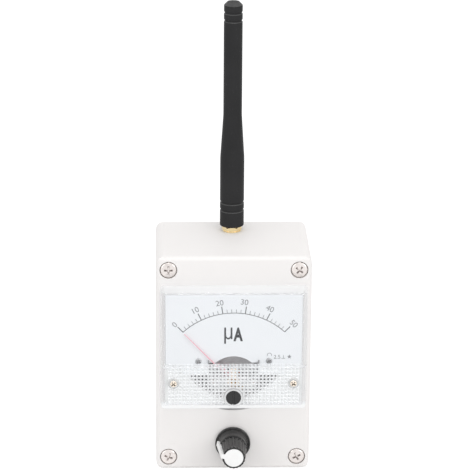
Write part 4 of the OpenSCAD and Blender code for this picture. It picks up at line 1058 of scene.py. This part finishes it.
knob = {
    "axisZ": 12.8, "back": -25.6, "high": 16.5, "cap": 4.2, "flutes": 20, "fluteDeep": 0.55, "fluteSides": 12,
    # profiles of radius, height, fillet: shaft hole and hollow foot, skirt with the gap ring, cap's seat
    "hollow": [(0, 12.8, 0), (3.05, 12.8, 0.2), (3.05, 4.4, 0), (3.75, 4.4, 0), (3.75, 2.4, 0),
               (6.02, 2.4, 0.1), (6.02, 0, 0.1)],
    "skirt": [(7.75, 0, 0.12), (7.8, 0.95, 0.2), (7.22, 1.25, 0.15), (7.05, 1.08, 0.1), (6.66, 2.0, 0.8),
              (6.3, 3.6, 1.5), (6.12, 5.95, 0.6), (6.0, 6.25, 0.1), (5.25, 6.3, 0.05), (5.25, 6.7, 0.05)],
    "seat": [(4.7, 16.5, 0.25), (4.26, 16.5, 0.06), (4.26, 15.6, 0), (0, 15.6, 0)],
    # the fluted side leans from root to front; rings for the flutes lie from low to high
    "flare": 5.0, "root": 6.0, "front": 5.1, "sideLow": 6.75, "sideHigh": 15.8, "sideSteps": 8,
    "edge": (0.15, 0.03, 0.12, 0.3),  # side's height below the front, inset, edge's own height below, fillet
    # the flutes rise over a short way and fade to the front
    "riseFrom": 6.4, "riseOver": 0.5, "fadeFrom": 13.9, "fadeOver": 2.4, "fade": 0.65, "plainRim": 0.3,
    "lineAngle": 170,
    "groove": {"inner": 4.05, "half": 1.15, "foot": 8.0, "tip": 8.0, "lowest": 2.95, "highest": 17.0},
    "line": {"inner": 3.85, "half": 1.1, "foot": 7.25, "tip": 5.48, "lowest": 3.0, "highest": 16.48,
             "narrow": 0.95},
    "capProfile": [(0, 15.62, 0), (4.2, 15.62, 0.05), (4.2, 16.48, 0.12), (3.7, 16.5, 0.4), (0, 16.5, 0)],
    "capSides": 72, "capBevel": 0.08, "merge": 0.02, "sharp": 40,
}


def makeFluteTree():
    # presses hollows into the knob's side, by the angle round its axis
    tree, own, end = growTree(
        "knobFlutes", rows("Float", "Flutes", "Depth", "Axis Z"), rows("Material", "Material"))
    calc = partial(mathNode, tree)
    position = tree.nodes.new("GeometryNodeInputPosition").outputs[0]
    where = addNode(tree, "ShaderNodeSeparateXYZ", {0: position}).outputs
    angle = calc("ARCTAN2", calc("SUBTRACT", where["Z"], own["Axis Z"]), where["X"])
    wave = calc("COSINE", calc("MULTIPLY", angle, own["Flutes"]))
    hollow = calc("MULTIPLY", calc("SUBTRACT", 1.0, wave), 0.5)
    amount = calc("MULTIPLY", calc("MULTIPLY", hollow, own["Depth"]), namedValue(tree, "fluted", "FLOAT"))
    inward = calc("MULTIPLY", amount, -1.0)
    away = joinXYZ(tree, X=calc("MULTIPLY", calc("COSINE", angle), inward),
                   Z=calc("MULTIPLY", calc("SINE", angle), inward))
    move = addNode(tree, "GeometryNodeSetPosition", {"Geometry": own["Geometry"], "Offset": away})
    return endTree(tree, own, end, move.outputs[0])


def knobSide(s, h):
    # radius of the fluted body at a height
    share = (h - s["flare"]) / (s["high"] - s["flare"])
    return s["root"] + (s["front"] - s["root"]) * share


def lineBox(name, s, inner, half, foot, tip, lowest, highest, narrow=1.0):
    # radial block for the pointer line, leaning with the knob's side
    bm = bmesh.new()
    turn = Matrix.Rotation(-math.radians(s["lineAngle"]), 3, "Y")
    corners = []
    for h, outer in ((lowest, foot), (highest, tip)):
        for r, wide in ((inner, half), (outer, half * narrow)):
            for w in (-wide, wide):
                spot = turn @ Vector((r, 0, w)) + Vector((0, s["back"] - h, s["axisZ"]))
                corners.append(bm.verts.new(spot * mm))
    for face in ((0, 1, 3, 2), (4, 5, 7, 6), (0, 1, 5, 4), (2, 3, 7, 6), (0, 2, 6, 4), (1, 3, 7, 5)):
        bm.faces.new([corners[k] for k in face])
    bmesh.ops.recalc_face_normals(bm, faces=bm.faces)
    return objectFrom(name, bm)


def clamped(value):
    return min(max(value, 0), 1)


def fluteShare(s, spot):
    # how far a point of the knob takes part in the flutes
    h = s["back"] - spot.y / mm
    r = math.hypot(spot.x, spot.z - s["axisZ"] * mm) / mm
    rise = clamped((h - s["riseFrom"]) / s["riseOver"])
    fade = 1 - s["fade"] * clamped((h - s["fadeFrom"]) / s["fadeOver"])
    return rise * fade if r > s["cap"] + s["plainRim"] else 0.0


def makeKnob(s):
    low, high, steps = s["sideLow"], s["sideHigh"], s["sideSteps"]
    heights = [low + (high - low) * k / steps for k in range(steps + 1)]
    below, inset, drop, fillet = s["edge"]
    edge = (knobSide(s, s["high"] - below) - inset, s["high"] - drop, fillet)
    profile = s["hollow"] + s["skirt"] + [(knobSide(s, h), h, 0) for h in heights] + [edge] + s["seat"]
    obj = lathe("knobBody", profile, (0, s["back"], s["axisZ"]), segments=s["flutes"] * s["fluteSides"])
    attribute = obj.data.attributes.new("fluted", "FLOAT", "POINT")
    attribute.data.foreach_set("value", [fluteShare(s, v.co) for v in obj.data.vertices])
    grow(obj, makeFluteTree(), {"Flutes": float(s["flutes"]), "Depth": s["fluteDeep"] * mm,
                                "Axis Z": s["axisZ"] * mm, "Material": finish("knobBlack")})
    carve(obj, lineBox("lineGroove", s, **s["groove"]))
    bm = openMesh(obj)
    bmesh.ops.remove_doubles(bm, verts=bm.verts[:], dist=s["merge"] * mm)
    closeMesh(obj, bm)
    return evened(obj, s["sharp"])


def makeCap(s):
    obj = lathe("knobCap", s["capProfile"], (0, s["back"], s["axisZ"]), segments=s["capSides"])
    carve(obj, lineBox("pointerLine", s, **s["line"]), "UNION")
    return bevelled(obj, s["capBevel"])


place(makeKnob(knob), "knobBlack", "knob", "black_knob", "knob")
place(makeCap(knob), "capWhite", "knob", "white_cap", "knob_cap")
print("stage: knob done")

# the antenna and its jack

antenna = {
    "centre": (0, 11.5, 102.6), "long": 102.0, "foot": 5.35, "whip": 4.1, "taperFrom": 31.5, "taperTo": 51.0,
    "taperRound": 40, "crown": 1.5, "sides": 72, "steps": 6,
    "bore": [(0, 96.0, 0), (1.0, 96.0, 0), (1.0, 15.0, 0), (2.5, 15.0, 0), (2.5, 7.0, 0), (4.05, 7.0, 0),
             (4.05, 0, 0.05)],
    "footGrooves": (7.5, 11.1), "tipGrooves": (93.7, 97.2), "grooveDeep": 0.3, "grooveWide": 1.2,
    "grooveRound": (0.12, 0.15), "footRound": 0.45, "crownRound": (0.5, 0.3),
    "upLit": (0.4, 0.95), "upLitAbove": 1,  # edges that face up get a painted highlight of paler rubber
}


def grooves(s, heights, r):
    w, d = s["grooveWide"] / 2, s["grooveDeep"]
    edge, floor = s["grooveRound"]
    profile = []
    for z in heights:
        profile += [(r, z - w, edge), (r - d, z - w / 2, floor), (r - d, z + w / 2, floor), (r, z + w, edge)]
    return profile


def makeSleeve(s):
    foot, whip, long, crown = s["foot"], s["whip"], s["long"], s["crown"]
    profile = s["bore"] + [(foot, 0, s["footRound"])] + grooves(s, s["footGrooves"], foot)
    profile += [(foot, s["taperFrom"], s["taperRound"]), (whip, s["taperTo"], s["taperRound"])]
    profile += grooves(s, s["tipGrooves"], whip)
    outer, inner = s["crownRound"]
    profile += [(whip, long - crown, outer), (whip - crown, long, inner), (0, long, 0)]
    obj = lathe("antennaSleeve", profile, s["centre"], "Z", s["sides"], s["steps"])
    # painted highlight on the faces that look up
    least, most = s["upLit"]
    above = (s["centre"][2] + s["upLitAbove"]) * mm
    upLit = [f.index for f in obj.data.polygons if least < f.normal.z < most and f.center.z > above]
    return dress(obj, "rubberBlack", "rubberWorn", upLit)


place(makeSleeve(antenna), None, "antenna", "black_rubber", "antenna_sleeve")

jackThread = {
    "centre": (0, 11.5, 102.7), "crest": 3.16, "root": 2.8, "past": 4.2, "pitch": 0.7056, "turns": 8,
    "sides": 72, "sharp": 20,
}


def makeJackBody(s):
    # rings of the thread, cut into the smooth post
    profile = [(s["past"], 0, 0)]
    for k in range(s["turns"]):
        profile += [(s["crest"], s["pitch"] * k, 0), (s["root"], s["pitch"] * (k + 0.5), 0)]
    long = s["pitch"] * s["turns"]
    profile += [(s["crest"], long, 0), (s["past"], long, 0)]
    obj = cadCopy("jack_body", "jackBody")
    carve(obj, lathe("threadTool", profile, s["centre"], "Z", s["sides"], sharp=s["sharp"]))
    return evened(obj, s["sharp"])


place(makeJackBody(jackThread), "gold", "case", "gold", "jack_body")

jackNut = {
    "centre": (0, 11.5, 100.5), "across": 7.6, "high": 1.7, "bore": 3.2, "lean": 0.35, "flat": 0.1,
    "round": 0.1, "past": 1, "sides": 72, "bevel": 0.06, "bevelAngle": 25,
}


def makeJackNut(s):
    # a turned disc with leaning edges, cut to six sides
    corner, face, high = s["across"] / math.sqrt(3), s["across"] / 2 + s["flat"], s["high"]
    obj = lathe("jackNut", [
        (s["bore"], 0, s["round"]), (face, 0, 0), (corner, s["lean"], 0), (corner, high - s["lean"], 0),
        (face, high, 0), (s["bore"], high, s["round"])], s["centre"], "Z", s["sides"])
    loops = []
    for h in (-s["past"], high + s["past"]):
        middle = Vector(s["centre"]) + Vector((0, 0, h))
        turns = [math.radians(60 * k) for k in range(6)]
        loops.append([(middle + Vector((corner * math.cos(t), corner * math.sin(t), 0))) * mm for t in turns])
    carve(obj, skin("hexTool", loops), "INTERSECT")
    return bevelled(obj, s["bevel"], angle=s["bevelAngle"])


place(makeJackNut(jackNut), "gold", "case", "gold", "jack_nut")
print("stage: antenna done")

# what is inside keeps its own shape

inside = {
    "lid_seal": "sealGrey", "meter_studs": "brass", "meter_nuts": "nickel", "dial_bracket": "aluminium",
    "frame_pillars": "nickel", "core_magnet": "magnetGrey", "rear_bridge": "aluminium",
    "coil_former": "aluminium", "coil_pivots": "steel", "front_hairspring": "springBronze",
    "rear_hairspring": "springBronze", "terminal_studs": "brass", "terminal_nuts": "nickel",
    "detector_board": "boardGreen", "detector_diodes": "diodeAmber", "disc_capacitors": "ceramicTan",
    "signal_choke": "chokeGreen", "load_resistor": "ceramicTan", "control_plate": "steel",
    "control_wafer": "laminateBrown", "control_cover": "steel", "control_lugs": "nickel",
    "control_washer": "nickel", "control_shaft": "aluminium", "control_wiper": "brass",
    "jack_insulator": "waxyWhite", "jack_contact": "gold", "plug_body": "gold",
    "plug_insulator": "waxyWhite", "radiating_wire": "brass", "signal_lead": "leadRed",
    "control_leads": "leadBlue",
}
for node, finishName in inside.items():
    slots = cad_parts[node].data.materials
    slots.clear()
    slots.append(finish(finishName))
print("stage: inside dressed,", len(inside), "nodes")
